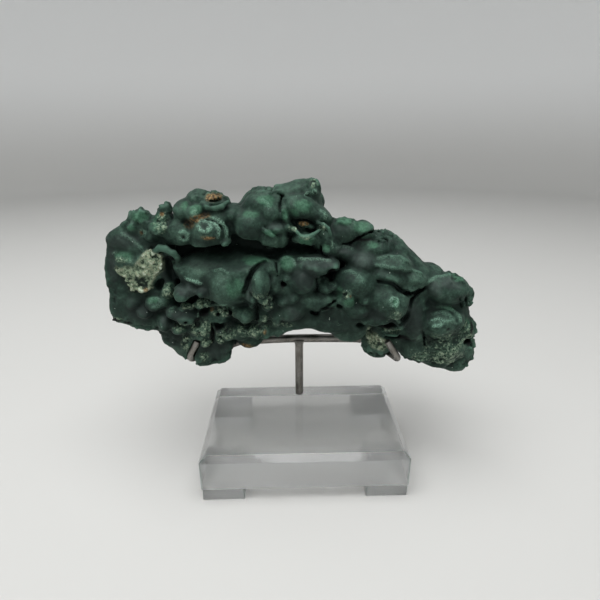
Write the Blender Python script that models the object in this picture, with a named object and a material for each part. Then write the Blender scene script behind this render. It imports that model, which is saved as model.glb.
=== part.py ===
"""Malachite specimen held by a steel armature on a clear acrylic base block.

The stone is one natural mass: rounded lobes grown into each other, a thin flared plate at its
left, a long dark recess under the upper row of knobs, and vugs and ledges lower down. It rests on
a bowed crossbar and two prongs. +X is to the right, +Y to the rear, +Z up. The origin is on the
floor, under the middle of the whole object and straight before the post.
"""

from math import cos, pi, radians, sin

import bmesh
import bpy
from mathutils import Matrix, Vector

MM = 0.001                       # every dimension below is in millimetres

# ---- stand: driving dimensions ----
BLOCK_WIDTH = 140.0
BLOCK_DEPTH = 92.0
BLOCK_HEIGHT = 25.0
BLOCK_BEVEL = 4.0                # 45 degree bevel round the top face
BLOCK_CORNER = 1.2               # eased upright corners
CORNER_SEGMENTS = 2
BLOCK_X = 2.0                    # the block's middle is a little right of the post
FOOT_SIZE = 28.0
FOOT_HEIGHT = 8.7
FOOT_INSET = 0.8
FOOT_EASE = 0.6
GAP = 0.3                        # clearance between pieces that touch
POST_DIAMETER = 6.35             # quarter inch rod
POST_Y = 32.0
POST_FLARE = 1.3                 # how far the brazed collar at the post's head stands out
POST_FLARE_HEIGHT = 4.0
POST_FLARE_STEPS = 3
POST_SIDES = 24
ARM_DIAMETER = 4.8               # three sixteenths inch rod
BAR_Z = 82.0                     # axis of the crossbar and of the arms
BAR_BOW = 1.0                    # rise of the crossbar's middle over its ends
BAR_LEFT = -34.0
BAR_RIGHT = 48.0
BAR_STEPS = 12                   # straight stretches that make up the bow
BEND_CUT = 5.0                   # distance from a bend's corner to where it starts
BEND_SHARE = 0.45                # of the stretch beside it, the most that a bend takes
BEND_STEPS = 5
ROD_RESOLUTION = 2               # a rod has 12 sides
BLOCK_BOTTOM = FOOT_HEIGHT + GAP
BLOCK_TOP = BLOCK_BOTTOM + BLOCK_HEIGHT

# ---- armature routes: the corners of each bent rod, first point at the crossbar's end ----
ARM_LEFT_ROUTE = [(-34.5, 32, 82), (-42, 32, 82), (-78.8, 1, 82), (-71.2, 0, 97.5)]
ARM_RIGHT_ROUTE = [(48.5, 32, 82), (54, 32, 82), (69.6, -4.3, 82), (60.2, -4.6, 96.9)]

# ---- stone ----
STONE_TRIANGLES = 7400
VOXEL = 1.5                      # size at which the lobes are fused
SMOOTHING = 3
SEAT_GAP = 0.5                   # clearance of the stone's seat round the rods
SEAT_VOXEL = 0.7
SEAT_TRIANGLES = 900
SLOT_REACH = 16.0                # the seat's slots stay open this far below or before a rod
SLOT_OVERLAP = 0.4               # neighbouring stretches of a slot overlap by this much
SLOT_STEPS = 6                   # facets of a slot's round bottom
SLOT_STRIDE = 4                  # the crossbar's slot follows every fourth point of its bow
LOBE_DETAIL = 3
CREST_DETAIL = 1
CREST_SPACING = 0.5              # of a crest's radius, between the balls it is strung from

# The stone's forms are laid out on the upright plane through the block's middle, as they look
# from VIEWPOINT: across, depth and height. Each then slides along its line of sight to its own
# depth and grows with it, which seen_place and seen_form work out.
VIEWPOINT = (-9.8, -293.4, 235.9)
PLATE_DEPTH = 7.0                # depth at which the plate's outline is laid out
MATRIX_DEPTH = 0.0

# Bodies that carry the lobes: name, centre (across, depth, height), radii, roll in the XZ plane.
BODIES = [
    ("core_left", (-62, 20, 114), (28, 22, 24), 0),
    ("core_left_low", (-68, 13, 99), (18, 13, 14), 15),
    ("core_middle", (-12, 16, 128), (40, 25, 19), 0),
    ("core_right_a", (26, 13, 128), (26, 24, 22), 0),
    ("core_right_b", (56, 13, 129), (27, 25, 24), -10),
    ("core_right_c", (90, 14, 119), (23, 22, 23), -10),
    ("core_far_right", (102, 16, 102), (18, 20, 21), -10),
    ("core_low_right", (50, 18, 106), (22, 20, 16), -12),
    ("back_far_left", (-96, 22, 150), (17, 13, 34), 0),
    ("back_left", (-72, 26, 150), (24, 14, 34), 0),
    ("back_middle", (-20, 26, 165), (40, 15, 30), 0),
    ("back_right", (40, 24, 150), (38, 15, 24), -20),
    ("row_left", (-52, 16, 182), (33, 19, 12), 0),
    ("row_right", (-26, 15, 183), (17, 18, 13), 0),
    ("top", (-3, 15, 190), (17, 17, 13), 0),
    ("shelf_left", (-64, 8, 140), (22, 19, 15), 0),
    ("shelf_middle", (-38, 5, 139), (26, 23, 17), 0),
    ("shelf_right", (-8, 8, 143), (18, 20, 13), 0),
    ("slope_left", (48, 16, 158), (26, 19, 13), -18),
    ("slope_right", (78, 16, 145), (22, 17, 9), -14),
]

# The thin flared plate at the left and the pale matrix on its face: (across, height).
PLATE_OUTLINE = [
    (-101.2, 190), (-106, 185.5), (-110, 182), (-117, 177), (-122, 175.5), (-125, 170),
    (-127, 160), (-128, 150), (-127, 140), (-128, 130), (-128.5, 120), (-127, 113.5),
    (-120, 111.3), (-109.5, 107.5), (-102, 109), (-96, 105), (-92, 98), (-86, 110),
    (-86, 150), (-84, 170), (-82, 191), (-84.5, 192.2), (-88, 189.3), (-91, 185),
    (-93.6, 183), (-96.4, 183.8), (-98.6, 187.5), (-100.4, 187.7),
]
PLATE_FRONT = 2.5
PLATE_BACK = 12.0
MATRIX_OUTLINE = [
    (-123.6, 149.4), (-110, 151.5), (-103, 160.5), (-98.2, 163.2), (-95, 162.2), (-90.5, 165),
    (-89.8, 160), (-91, 150.5), (-97.5, 141), (-101.2, 135.7), (-106.5, 133.8), (-113, 132),
    (-116.5, 132.8), (-119, 140.5),
]
MATRIX_FRONT = -2.0
MATRIX_BACK = 8.0

# Lobes: name, centre (across, depth, height), radii, roll in the XZ plane.
PLATE_LOBES = [
    ("plate_swell", (-116, 7, 168), (11, 8, 8), 10),
    ("plate_bead", (-108.5, 3, 175.5), (3.4, 4, 3), 0),
    ("plate_low", (-112, 8, 119), (17, 10, 11), -8),
    ("plate_middle", (-117, 8, 142), (11, 9, 17), 0),
    ("plate_low_edge", (-124, 7, 124), (5, 8, 10), 0),
    ("plate_ridge", (-87, 8, 176.5), (5, 10, 12.5), 8),
    ("plate_root", (-96, 12, 114), (9, 13, 9), 0),
    ("eye_cup", (-99, 6, 128.5), (7.0, 10, 7.0), 0),
    ("fin", (-87, 11, 139), (5, 13, 17), 0),
]
LOWER_LEFT_LOBES = [
    ("scroll_left", (-83, 4, 134), (6.5, 12, 5.5), 10),
    ("scroll_right", (-68, 2, 135), (7.5, 13, 5.4), -10),
    ("rough_tuft", (-91, 7, 132), (4.5, 9, 6.5), 0),
    ("curl_row", (-84, 4, 121), (8, 10, 4.2), 5),
    ("knuckle_left", (-92.5, 6, 114), (6, 11, 7.5), 0),
    ("knuckle_right", (-82, 3, 116), (9.5, 11, 5.5), 0),
    ("pale_knuckle", (-84, 3, 109), (7, 10, 6), -10),
    ("vug_rim", (-68.5, 4, 128), (6, 9, 4.5), 0),
    ("crystals_left", (-72, 5, 105), (9, 10, 7), 10),
    ("low_bead", (-65, 4, 98.5), (4, 7, 4), 0),
    ("left_slope", (-84.5, 11, 100), (8, 10, 12.5), 28),
    ("low_lump", (-67, 5, 89), (13, 9.5, 9.5), 12),
    ("low_lump_tip", (-55, 6, 88), (6, 8, 6.5), 0),
    ("middle_rim", (-57, 2, 121.5), (8, 10, 3.4), 0),
    ("crystals_middle", (-55, 4, 113), (8, 9, 7), 0),
    ("crystals_low", (-55, 5, 101), (8, 9, 8), 0),
    ("round_knob", (-39.5, -1, 117), (7.5, 11, 7), 0),
    ("under_knob", (-35.5, 3, 107), (9, 12, 7.5), 0),
    ("dark_apron", (-43, 7, 100), (9, 11, 10), 0),
    ("low_apron", (-33, 8, 99.0), (11, 13, 5.6), 14),
    ("left_arch", (-21.5, 8, 105), (9.5, 13, 5.5), 14),
]
SHELF_LOBES = [
    ("bulge", (-45.5, -3, 138), (12.5, 17, 14.5), 10),
    ("shelf_lump", (-62, 0, 144.5), (12, 14, 8), 0),
    ("finger_hood", (-30, 0, 148.5), (13, 17, 7.5), -4),
    ("finger", (-30.5, -9, 138), (6.6, 15, 12), -2),
    ("finger_fringe", (-29, -3, 128), (8, 13, 5), 0),
    ("fringe_right", (-22, -2, 126), (5, 12, 5), 0),
    ("scallop", (-16, 1, 148), (4, 14, 5.5), 15),
    ("green_lobe", (-11.5, 6, 153.5), (7.5, 13, 6.5), 20),
    ("belly_dome", (-10.5, 0, 121), (14, 16, 10), 5),
    ("column", (-23.5, 3, 112), (6, 14, 9), 0),
    ("low_belly", (-6, 6, 111.5), (24, 15, 7.5), 4),
]
UPPER_ROW_LOBES = [
    ("left_end_knob", (-75, 4, 188), (6, 10, 8), -20),
    ("crystal_knob", (-66.5, 3, 187), (5.5, 11, 7), 0),
    ("ringed_knob", (-57.5, 4, 177), (12, 16, 10.5), -5),
    ("row_end_lobe", (-79, 5, 174.5), (7, 12, 8.5), 0),
    ("small_ringed_knob", (-77, 1, 170.8), (5.6, 9, 5.6), 0),
    ("top_left_knob", (-65, 12, 194.5), (8, 12, 5.2), 0),
    ("rusty_knob", (-54.5, 10, 193), (8.5, 13, 5.4), -8),
    ("flat_lobe", (-55.5, 5, 187.5), (11, 13, 4.8), -5),
    ("middle_knob", (-45, 8, 187), (9, 14, 6.5), -8),
    ("big_knob_left", (-36.5, 4, 179), (11.5, 16, 9.5), 0),
    ("big_knob_right", (-25.5, 7, 191.0), (12.5, 15, 9), -5),
    ("under_big_knob", (-26, 6, 183), (10.5, 15, 7), 0),
    ("ridged_knob", (-22.3, 4, 173.5), (8.5, 13, 7.5), -10),
    ("drip_lobe", (-17.5, 8, 166.5), (10, 14, 7.5), 0),
]
TOP_LOBES = [
    ("top_front", (-3, 13, 199.3), (15, 13, 6.8), 8),
    ("top_left", (-12, 15, 198.6), (10, 13, 4.8), 5),
    ("top_far_left", (-23.5, 17, 197), (8, 11, 4.2), 5),
    ("top_right", (6.2, 13, 198.5), (5.2, 11, 8.6), 8),
    ("top_right_low", (8, 11, 191), (5, 11, 7), 0),
    ("leaf", (14.5, 9, 184.5), (4.6, 11, 8.4), 32),
    ("wedge_lobe", (-2, 4, 188), (9, 12, 8.5), -10),
    ("wedge_lobe_right", (5, 4, 184), (10, 12, 5), -20),
    ("wedge_lobe_left", (-11.5, 4, 184), (4, 10, 4.5), 10),
    ("cavity_lobe", (5, 6, 174), (13.5, 17, 9), 0),
    ("cavity_under", (8, 6, 166), (9.5, 14, 8), 0),
    ("cavity_bead", (14.3, 1, 161.5), (3.8, 10, 4), 0),
    ("cavity_ridge", (16.5, 4, 169), (3.8, 11, 11), 16),
]
RIGHT_SLOPE_LOBES = [
    ("dark_lobe", (25.8, 8, 174.0), (9.8, 14, 8.6), 0),
    ("light_lobe", (36.5, 11, 174.6), (8.5, 13, 5.6), -6),
    ("slope_top", (49, 16, 169.6), (13, 15, 6), -18),
    ("slope_ledge", (42.5, 10, 166), (13, 15, 5.5), 4),
    ("slope_shoulder", (58, 14, 163.2), (12.5, 15, 6.4), -22),
    ("brow", (29.5, 7, 161.0), (11, 14, 5), -4),
    ("grey_dome_left", (25, 4, 155), (9, 14, 6), 0),
    ("grey_dome_right", (38, 3, 154.5), (12, 17, 7), -5),
    ("slope_dome", (57.5, 3, 153.5), (13, 17, 7.5), -8),
    ("slope_flank", (69, 14, 152.8), (12.5, 16, 7.6), -35),
    ("slope_foot", (84, 15, 146.4), (11, 14, 6), -5),
    ("long_ridge_left", (54, 0, 145), (12, 18, 6.4), -2),
    ("long_ridge_right", (69, 1, 143), (14, 17, 5.8), -12),
    ("small_dome", (71, 0, 136.5), (8, 14, 5.6), -5),
    ("right_dome_left", (89, 5, 137.5), (14, 18, 9), 0),
    ("right_dome_right", (101.5, 8, 133.5), (13, 16, 10), -12),
    ("right_band", (97, 10, 125), (15, 15, 7), 0),
    ("right_sliver", (111.3, 12, 127), (4.6, 10, 9), -4),
]
LOWER_RIGHT_LOBES = [
    ("level_finger", (9, -4, 151), (14, 15, 6), 0),
    ("level_finger_tip", (20.5, -3, 149.0), (5, 12, 5), -25),
    ("round_mass", (1.5, -2, 142), (11, 17, 9.5), 0),
    ("round_flank", (-9, 2, 143), (4, 14, 8), 0),
    ("small_crest", (14, -1, 138.0), (8, 15, 6), 0),
    ("under_crest", (14, 0, 131.5), (10, 15, 6), 0),
    ("middle_dome", (32.5, -1, 140), (12, 18, 9), -8),
    ("middle_bead", (24, -3, 147.5), (3.2, 12, 3), 0),
    ("grainy_lump", (47.5, 0, 137.5), (8, 16, 7.5), 0),
    ("above_slit", (11.5, 0, 126.5), (13, 17, 8), 18),
    ("rough_lump", (26, 0, 129), (8, 15, 8), 0),
    ("broad_dome", (54, -1, 126.5), (20, 19, 12), -15),
    ("below_slit", (22, 4, 112.5), (20, 15, 10), 6),
    ("dark_column", (37, 6, 110), (8, 14, 15), 0),
    ("striped_dome", (47, 2, 117.5), (12, 15, 7.5), 0),
    ("pale_nub", (41.5, -1, 110.5), (3.4, 10, 2.4), 8),
    ("patch_body", (51, 11, 97), (9, 12, 10), -20),
    ("low_right_edge", (50, 12, 90.5), (11, 9, 5.4), -20),
    ("vug_wall", (67, 5, 114), (7, 15, 13), 8),
    ("right_low_dome", (84, 3, 117), (13, 18, 14.5), 10),
    ("arc_dome", (97, 3, 115), (13.5, 16, 8.5), -14),
    ("green_end", (111, 8, 106), (9, 13, 8), -10),
    ("right_rough", (102, 8, 93), (18, 15, 12), -8),
    ("right_corner", (113, 11, 90), (8.5, 12, 11), 0),
    ("right_tip", (105, 12, 81), (12, 10, 7.0), 4),
    ("fringe_ledge", (62, 6, 103), (7, 12, 3), 4),
    ("low_dome", (75, 8, 92.5), (9.5, 12, 9), 10),
    ("low_edge", (88, 11, 85), (14, 11, 7), -10),
    ("right_arch", (26, 8, 104.5), (13, 13, 6), -12),
]

# The rear is laid out where it is: name, centre (x, y, z), radii (x, y, z), roll.
REAR_LOBES = [
    ("rear_wing", (-104, 30, 150), (12, 8, 15), 12),
    ("rear_wing_top", (-84, 36, 168), (15, 9, 12), -10),
    ("rear_left_high", (-66, 37, 147), (14, 10, 13), 20),
    ("rear_left_mid", (-88, 33, 124), (13, 10, 12), 0),
    ("rear_left_low", (-62, 35, 118), (16, 10, 11), 15),
    ("rear_left_foot", (-74, 27, 96), (13, 10, 10), 0),
    ("rear_row", (-46, 36, 176), (14, 9, 11), 0),
    ("rear_middle_high", (-38, 38, 152), (16, 9, 12), -12),
    ("rear_middle_low", (-32, 34, 127), (15, 11, 12), 8),
    ("rear_crown", (-13, 37, 170), (14, 9, 13), 0),
    ("rear_middle", (-6, 38, 144), (15, 9, 11), 25),
    ("rear_belly", (4, 32, 122), (16, 11, 10), 0),
    ("rear_top", (10, 26, 187), (9, 9, 11), 0),
    ("rear_notch", (22, 37, 158), (15, 9, 12), -20),
    ("rear_right_low", (34, 35, 132), (16, 10, 12), 0),
    ("rear_right_high", (50, 36, 150), (15, 9, 11), -25),
    ("rear_right_mid", (60, 34, 122), (15, 11, 13), 0),
    ("rear_right_foot", (56, 30, 98), (14, 10, 9), -10),
    ("rear_shoulder", (78, 34, 136), (14, 9, 10), -15),
    ("rear_far_mid", (88, 32, 112), (15, 10, 13), 0),
    ("rear_far_high", (107, 29, 121), (11, 9, 12), -8),
    ("rear_far_low", (105, 28, 94), (14, 10, 12), 10),
    ("rear_corner", (116, 22, 107), (9, 9, 12), 0),
]

# Thin crusts, rims and crests: name, radius, points along the line (across, depth, height).
CRESTS = [
    ("lip", 2.6, [(-96, 1, 162), (-91, -1, 165), (-85, -4, 163.2), (-80.5, -5, 159.5),
                  (-78, -2, 154.5), (-78, 2, 148)]),
    ("fin_edge", 2.2, [(-83.5, 2, 158), (-85.5, 1, 146), (-86, 0, 134)]),
    ("scroll_crest", 1.7, [(-79, -8, 143), (-75, -10, 142), (-71, -9, 140)]),
    ("knob_crest", 1.8, [(-27, -9, 176.5), (-22.5, -10, 174.5), (-18, -8, 171.5)]),
    ("cavity_rim", 1.8, [(-9, -7, 177.5), (-5.5, -10, 174.5), (-2.6, -12, 171.5),
                         (3.4, -13, 170.3), (9, -12, 172), (12.5, -9, 176.5)]),
    ("cleft_lip", 2.0, [(28.5, -5, 166.3), (36, -3, 167.2), (42, 1, 171)]),
    ("arc_crest", 1.6, [(88, -12, 121.5), (94, -13, 121), (101, -11, 119), (108, -6, 114.5)]),
    ("long_crest", 1.4, [(48, -10, 151), (59, -13, 149.4), (70, -12, 148.2), (79, -8, 144.5)]),
]

# Hollows cut into the stone: name, centre (across, depth, height), radii, roll.
HOLLOWS = [
    ("recess", (-48, 0, 161.0), (44, 19, 5.4), 3),
    ("recess_left", (-83, 4, 165.5), (12, 12, 5.6), -14),
    ("recess_right", (-4, 1, 163), (13, 14, 6.0), 12),
    ("void_left", (-87.6, 3, 148), (3.8, 9, 12), 4),
    ("void_under_lip", (-84.5, 1, 151.5), (4.2, 9, 7), 0),
    ("cavity", (2.3, -9, 176.8), (7.2, 9, 4.2), -12),
    ("ring_bowl", (-59.5, -12, 178.3), (4.2, 4, 3.4), 0),
    ("small_ring_bowl", (-77, -8, 170.5), (2.4, 3, 2.4), 0),
    ("eye_bowl", (-100, -6, 129.5), (3.4, 4, 3.0), 0),
    ("upper_slit", (37, 0, 168.6), (8, 10, 1.7), 32),
    ("finger_crease", (-38.0, -15, 139), (1.5, 8, 11), 12),
    ("finger_end", (18.5, -13, 146.8), (4, 7, 3), -10),
    ("middle_slit", (14, -11, 121.5), (9, 9, 1.2), 30),
    ("middle_groove", (-32, -5, 119), (1.8, 9, 8), 0),
    ("dark_pocket", (56, -4, 107), (9, 12, 4.2), -8),
    ("dark_pocket_low", (65, -2, 98.5), (6, 10, 3.4), 6),
    ("vug_groove", (63.5, -11, 117), (2.4, 7, 8), 10),
    ("cleft", (75.0, -8, 121.5), (1.8, 13, 9.5), -24),
    ("under_dome", (75, -6, 130), (7, 9, 2.2), 8),
    ("right_vug", (115, 0, 94.5), (5, 8, 3), 6),
    ("right_notch", (115.5, 8, 119), (4, 12, 2.2), -25),
    ("left_groove", (-61.5, -3, 106), (2, 9, 7), -12),
    ("vug_hole", (-54, -6, 118), (3.4, 6, 1.8), 0),
    ("vug_hole_left", (-70, -5, 124), (5, 8, 2.2), 0),
    ("top_notch", (17.8, 0, 176.5), (1.6, 10, 4), -22),
]

REAR_HOLLOWS = [
    ("rear_dent_left", (-52, 49, 134), (17, 9, 6), 30),
    ("rear_dent_high", (-62, 48, 163), (6, 9, 12), -25),
    ("rear_dent_middle", (9, 49, 150), (6, 9, 18), -20),
    ("rear_dent_right", (72, 47, 120), (6, 9, 15), 35),
]

# ---- colours: base colour, roughness, metallic, transmission ----
MATERIALS = {
    "malachite": ((0.035, 0.085, 0.055), 0.75, 0.0, 0.0),
    "clear_acrylic": ((0.90, 0.92, 0.91), 0.06, 0.0, 0.9),
    "brushed_steel": ((0.23, 0.215, 0.19), 0.42, 1.0, 0.0),
}


def clear_scene():
    """Start from an empty scene."""
    for item in list(bpy.data.objects):
        bpy.data.objects.remove(item, do_unlink=True)


def make_material(name):
    """A Principled material from the MATERIALS table."""
    colour, roughness, metallic, transmission = MATERIALS[name]
    material = bpy.data.materials.new(name)
    material.use_nodes = True
    shader = material.node_tree.nodes["Principled BSDF"]
    shader.inputs["Base Color"].default_value = (*colour, 1.0)
    shader.inputs["Roughness"].default_value = roughness
    shader.inputs["Metallic"].default_value = metallic
    shader.inputs["Transmission Weight"].default_value = transmission
    return material


def add_object(name, shape, material=None):
    """Turn a bmesh built in millimetres into an object in metres."""
    bmesh.ops.scale(shape, vec=(MM, MM, MM), verts=shape.verts)
    mesh = bpy.data.meshes.new(name)
    shape.to_mesh(mesh)
    shape.free()
    item = bpy.data.objects.new(name, mesh)
    bpy.context.scene.collection.objects.link(item)
    if material:
        mesh.materials.append(material)
    return item


def make_cutter(item):
    """Mark an object as a cutting tool that is not part of the model."""
    item.hide_render = True
    item.display_type = "WIRE"
    return item


# ---------------------------------------------------------------- stand

def rounded_outline(centre, width, depth, corner, z):
    """Points of a level rectangle with eased corners, anticlockwise from above."""
    points = []
    for quarter, (side_x, side_y) in enumerate(((1, 1), (-1, 1), (-1, -1), (1, -1))):
        for step in range(CORNER_SEGMENTS + 1):
            angle = pi / 2 * (quarter + step / CORNER_SEGMENTS)
            x = centre[0] + side_x * (width / 2 - corner) + corner * cos(angle)
            y = centre[1] + side_y * (depth / 2 - corner) + corner * sin(angle)
            points.append((x, y, z))
    return points


def add_stack(shape, outlines):
    """Closed solid skinned over outlines from the lowest to the highest."""
    rings = [[shape.verts.new(point) for point in outline] for outline in outlines]
    for low, high in zip(rings, rings[1:]):
        for here in range(len(low)):
            after = (here + 1) % len(low)
            shape.faces.new((low[here], low[after], high[after], high[here]))
    shape.faces.new(reversed(rings[0]))
    shape.faces.new(rings[-1])


def build_block(material):
    """Clear slab with a 45 degree bevel round its top and eased upright corners."""
    shape = bmesh.new()
    centre = (BLOCK_X, 0.0)
    shoulder = BLOCK_TOP - BLOCK_BEVEL
    levels = [(0.0, BLOCK_BOTTOM), (0.0, shoulder), (BLOCK_BEVEL, BLOCK_TOP)]
    add_stack(shape, [rounded_outline(centre, BLOCK_WIDTH - 2 * inset, BLOCK_DEPTH - 2 * inset,
                                      BLOCK_CORNER, z) for inset, z in levels])
    return add_object("acrylic_block", shape, material)


def build_foot(name, side_x, side_y, material):
    """Square foot under one corner of the block."""
    reach_x = BLOCK_WIDTH / 2 - FOOT_INSET - FOOT_SIZE / 2
    reach_y = BLOCK_DEPTH / 2 - FOOT_INSET - FOOT_SIZE / 2
    centre = (BLOCK_X + side_x * reach_x, side_y * reach_y)
    shape = bmesh.new()
    add_stack(shape, [rounded_outline(centre, FOOT_SIZE, FOOT_SIZE, FOOT_EASE, z)
                      for z in (0.0, FOOT_HEIGHT)])
    return add_object(name, shape, material)


def build_post(material):
    """Round post from the block's top face to a flared collar under the crossbar."""
    radius = POST_DIAMETER / 2
    bottom = BLOCK_TOP + GAP
    top = BAR_Z + BAR_BOW - radius - GAP
    profile = [(radius, bottom)]
    for step in range(POST_FLARE_STEPS + 1):
        rise = step / POST_FLARE_STEPS
        profile.append((radius + POST_FLARE * rise ** 2, top - POST_FLARE_HEIGHT * (1 - rise)))
    shape = bmesh.new()
    verts = [shape.verts.new((r, 0.0, z)) for r, z in profile]
    edges = [shape.edges.new(pair) for pair in zip(verts, verts[1:])]
    bmesh.ops.spin(shape, geom=verts + edges, axis=(0, 0, 1), cent=(0, 0, 0),
                   steps=POST_SIDES, angle=2 * pi, use_merge=True)
    rims = [e for e in shape.edges if e.is_boundary]
    bmesh.ops.holes_fill(shape, edges=rims, sides=0)
    bmesh.ops.recalc_face_normals(shape, faces=shape.faces)
    bmesh.ops.translate(shape, vec=(0.0, POST_Y, 0.0), verts=shape.verts)
    return add_object("post", shape, material)


def round_corners(route):
    """Replace each inner corner of a route by a short smooth bend."""
    points = [Vector(p) for p in route]
    bent = [points[0]]
    for before, corner, after in zip(points, points[1:], points[2:]):
        shorter = min((before - corner).length, (after - corner).length)
        reach = min(BEND_CUT, shorter * BEND_SHARE)
        start = corner + (before - corner).normalized() * reach
        end = corner + (after - corner).normalized() * reach
        for step in range(BEND_STEPS + 1):
            t = step / BEND_STEPS
            bent.append(start * (1 - t) ** 2 + corner * 2 * t * (1 - t) + end * t ** 2)
    bent.append(points[-1])
    return bent


def build_rod(name, points, diameter, material):
    """Round rod along a list of points, with flat closed ends."""
    curve = bpy.data.curves.new(name, "CURVE")
    curve.dimensions = "3D"
    curve.bevel_depth = diameter / 2 * MM
    curve.bevel_resolution = ROD_RESOLUTION
    curve.use_fill_caps = True
    spline = curve.splines.new("POLY")
    spline.points.add(len(points) - 1)
    for slot, point in zip(spline.points, points):
        slot.co = (*(Vector(point) * MM), 1.0)
    item = bpy.data.objects.new(name, curve)
    bpy.context.scene.collection.objects.link(item)
    curve.materials.append(material)
    return item


def crossbar_points():
    """The crossbar's axis: level, with its middle bowed up over the post."""
    points = []
    for step in range(BAR_STEPS + 1):
        x = BAR_LEFT + (BAR_RIGHT - BAR_LEFT) * step / BAR_STEPS
        side = BAR_RIGHT if x > 0 else BAR_LEFT
        points.append((x, POST_Y, BAR_Z + BAR_BOW * (1 - (x / side) ** 2)))
    return points


# ---------------------------------------------------------------- stone

def growth(depth):
    """How much larger a form at this depth is than it looks on the middle plane."""
    return 1.0 - depth / VIEWPOINT[1]


def seen_place(across, depth, height):
    """Slide a point from the middle plane along its line of sight to its depth."""
    eye_x, _eye_y, eye_z = VIEWPOINT
    x = BLOCK_X + eye_x + (across - eye_x) * growth(depth)
    return (x, depth, eye_z + (height - eye_z) * growth(depth))


def seen_form(centre, radii):
    """Place a form and give it its real width and height; its depth is real already."""
    wide, deep, high = radii
    grown = growth(centre[1])
    return seen_place(*centre), (wide * grown, deep, high * grown)


def seen_outline(outline, depth):
    """The real outline in XZ of one that is laid out on the middle plane."""
    places = [seen_place(across, depth, height) for across, height in outline]
    return [(x, z) for x, _depth, z in places]


def add_lobe(shape, centre, radii, roll, detail=LOBE_DETAIL):
    """One rounded lobe: a stretched ball, rolled in the XZ plane."""
    turn = Matrix.Rotation(radians(-roll), 4, "Y")
    place = Matrix.Translation(centre) @ turn @ Matrix.Diagonal((*radii, 1.0))
    bmesh.ops.create_icosphere(shape, subdivisions=detail, radius=1.0, matrix=place)


def add_crest(shape, radius, points):
    """A thin rounded crest: small balls strung closely along a line."""
    for start, end in zip(points, points[1:]):
        start, end = Vector(start), Vector(end)
        count = round((end - start).length / (CREST_SPACING * radius))
        for step in range(count + 1):
            add_lobe(shape, start.lerp(end, step / count), (radius,) * 3, 0, CREST_DETAIL)


def add_plate(shape, outline, front, back):
    """A flat plate: an outline in XZ drawn out from its front to its back."""
    verts = [shape.verts.new((x, front, z)) for x, z in outline]
    face = shape.faces.new(verts)
    drawn = bmesh.ops.extrude_face_region(shape, geom=[face])
    moved = [v for v in drawn["geom"] if isinstance(v, bmesh.types.BMVert)]
    bmesh.ops.translate(shape, vec=(0.0, back - front, 0.0), verts=moved)


def add_slot(shape, points, radius, opening):
    """The space round a rod, kept open in one direction so that the stone can be lifted off."""
    for start, end in zip(points, points[1:]):
        ends = [Vector(start), Vector(end)]
        along = (ends[1] - ends[0]).normalized()
        across = along.cross(opening).normalized()
        over = across.cross(along).normalized()
        if over.dot(opening) > 0:
            over = -over
        corners = []
        for point, push in ((ends[0], -SLOT_OVERLAP * along), (ends[1], SLOT_OVERLAP * along)):
            for step in range(SLOT_STEPS + 1):
                angle = pi * step / SLOT_STEPS
                rim = across * (radius * cos(angle)) + over * (radius * sin(angle))
                corners.append(point + push + rim)
            corners.append(point + push + across * radius + opening)
            corners.append(point + push - across * radius + opening)
        verts = [shape.verts.new(corner) for corner in corners]
        bmesh.ops.convex_hull(shape, input=verts)


def build_stone(material, seats):
    """Fuse bodies, plates, lobes and crests, cut the hollows, then seat the stone on its rods."""
    shape = bmesh.new()
    add_plate(shape, seen_outline(PLATE_OUTLINE, PLATE_DEPTH), PLATE_FRONT, PLATE_BACK)
    add_plate(shape, seen_outline(MATRIX_OUTLINE, MATRIX_DEPTH), MATRIX_FRONT, MATRIX_BACK)
    bmesh.ops.recalc_face_normals(shape, faces=shape.faces)
    groups = [BODIES, PLATE_LOBES, LOWER_LEFT_LOBES, SHELF_LOBES, UPPER_ROW_LOBES, TOP_LOBES,
              RIGHT_SLOPE_LOBES, LOWER_RIGHT_LOBES]
    for group in groups:
        for _name, centre, radii, roll in group:
            add_lobe(shape, *seen_form(centre, radii), roll)
    for _name, centre, radii, roll in REAR_LOBES:
        add_lobe(shape, centre, radii, roll)
    for _name, radius, points in CRESTS:
        add_crest(shape, radius, [seen_place(*point) for point in points])
    stone = add_object("malachite", shape, material)

    hollow_shape = bmesh.new()
    for _name, centre, radii, roll in HOLLOWS:
        add_lobe(hollow_shape, *seen_form(centre, radii), roll)
    for _name, centre, radii, roll in REAR_HOLLOWS:
        add_lobe(hollow_shape, centre, radii, roll)
    hollows = make_cutter(add_object("stone_hollows", hollow_shape))
    fuse(hollows, VOXEL / 2)

    fuse(stone, VOXEL)
    cut(stone, "hollows", hollows)
    fuse(stone, VOXEL)
    soften = stone.modifiers.new("soften", "SMOOTH")
    soften.iterations = SMOOTHING
    thin_out(stone, STONE_TRIANGLES)
    cut(stone, "seat", seats)
    return stone


def fuse(item, size):
    """Fuse overlapping shapes into one closed skin."""
    remesh = item.modifiers.new("fuse", "REMESH")
    remesh.mode = "VOXEL"
    remesh.voxel_size = size * MM
    remesh.adaptivity = 0.0


def cut(item, name, cutter):
    """Take the cutter's volume away from an object."""
    boolean = item.modifiers.new(name, "BOOLEAN")
    boolean.operation = "DIFFERENCE"
    boolean.solver = "EXACT"
    boolean.object = cutter


def thin_out(item, triangles):
    """Keep about this many triangles, most of them where the surface bends."""
    graph = bpy.context.evaluated_depsgraph_get()
    dense = item.evaluated_get(graph).to_mesh()
    dense.calc_loop_triangles()
    decimate = item.modifiers.new("thin_out", "DECIMATE")
    decimate.ratio = triangles / len(dense.loop_triangles)
    decimate.use_collapse_triangulate = True
    item.evaluated_get(graph).to_mesh_clear()


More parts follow.
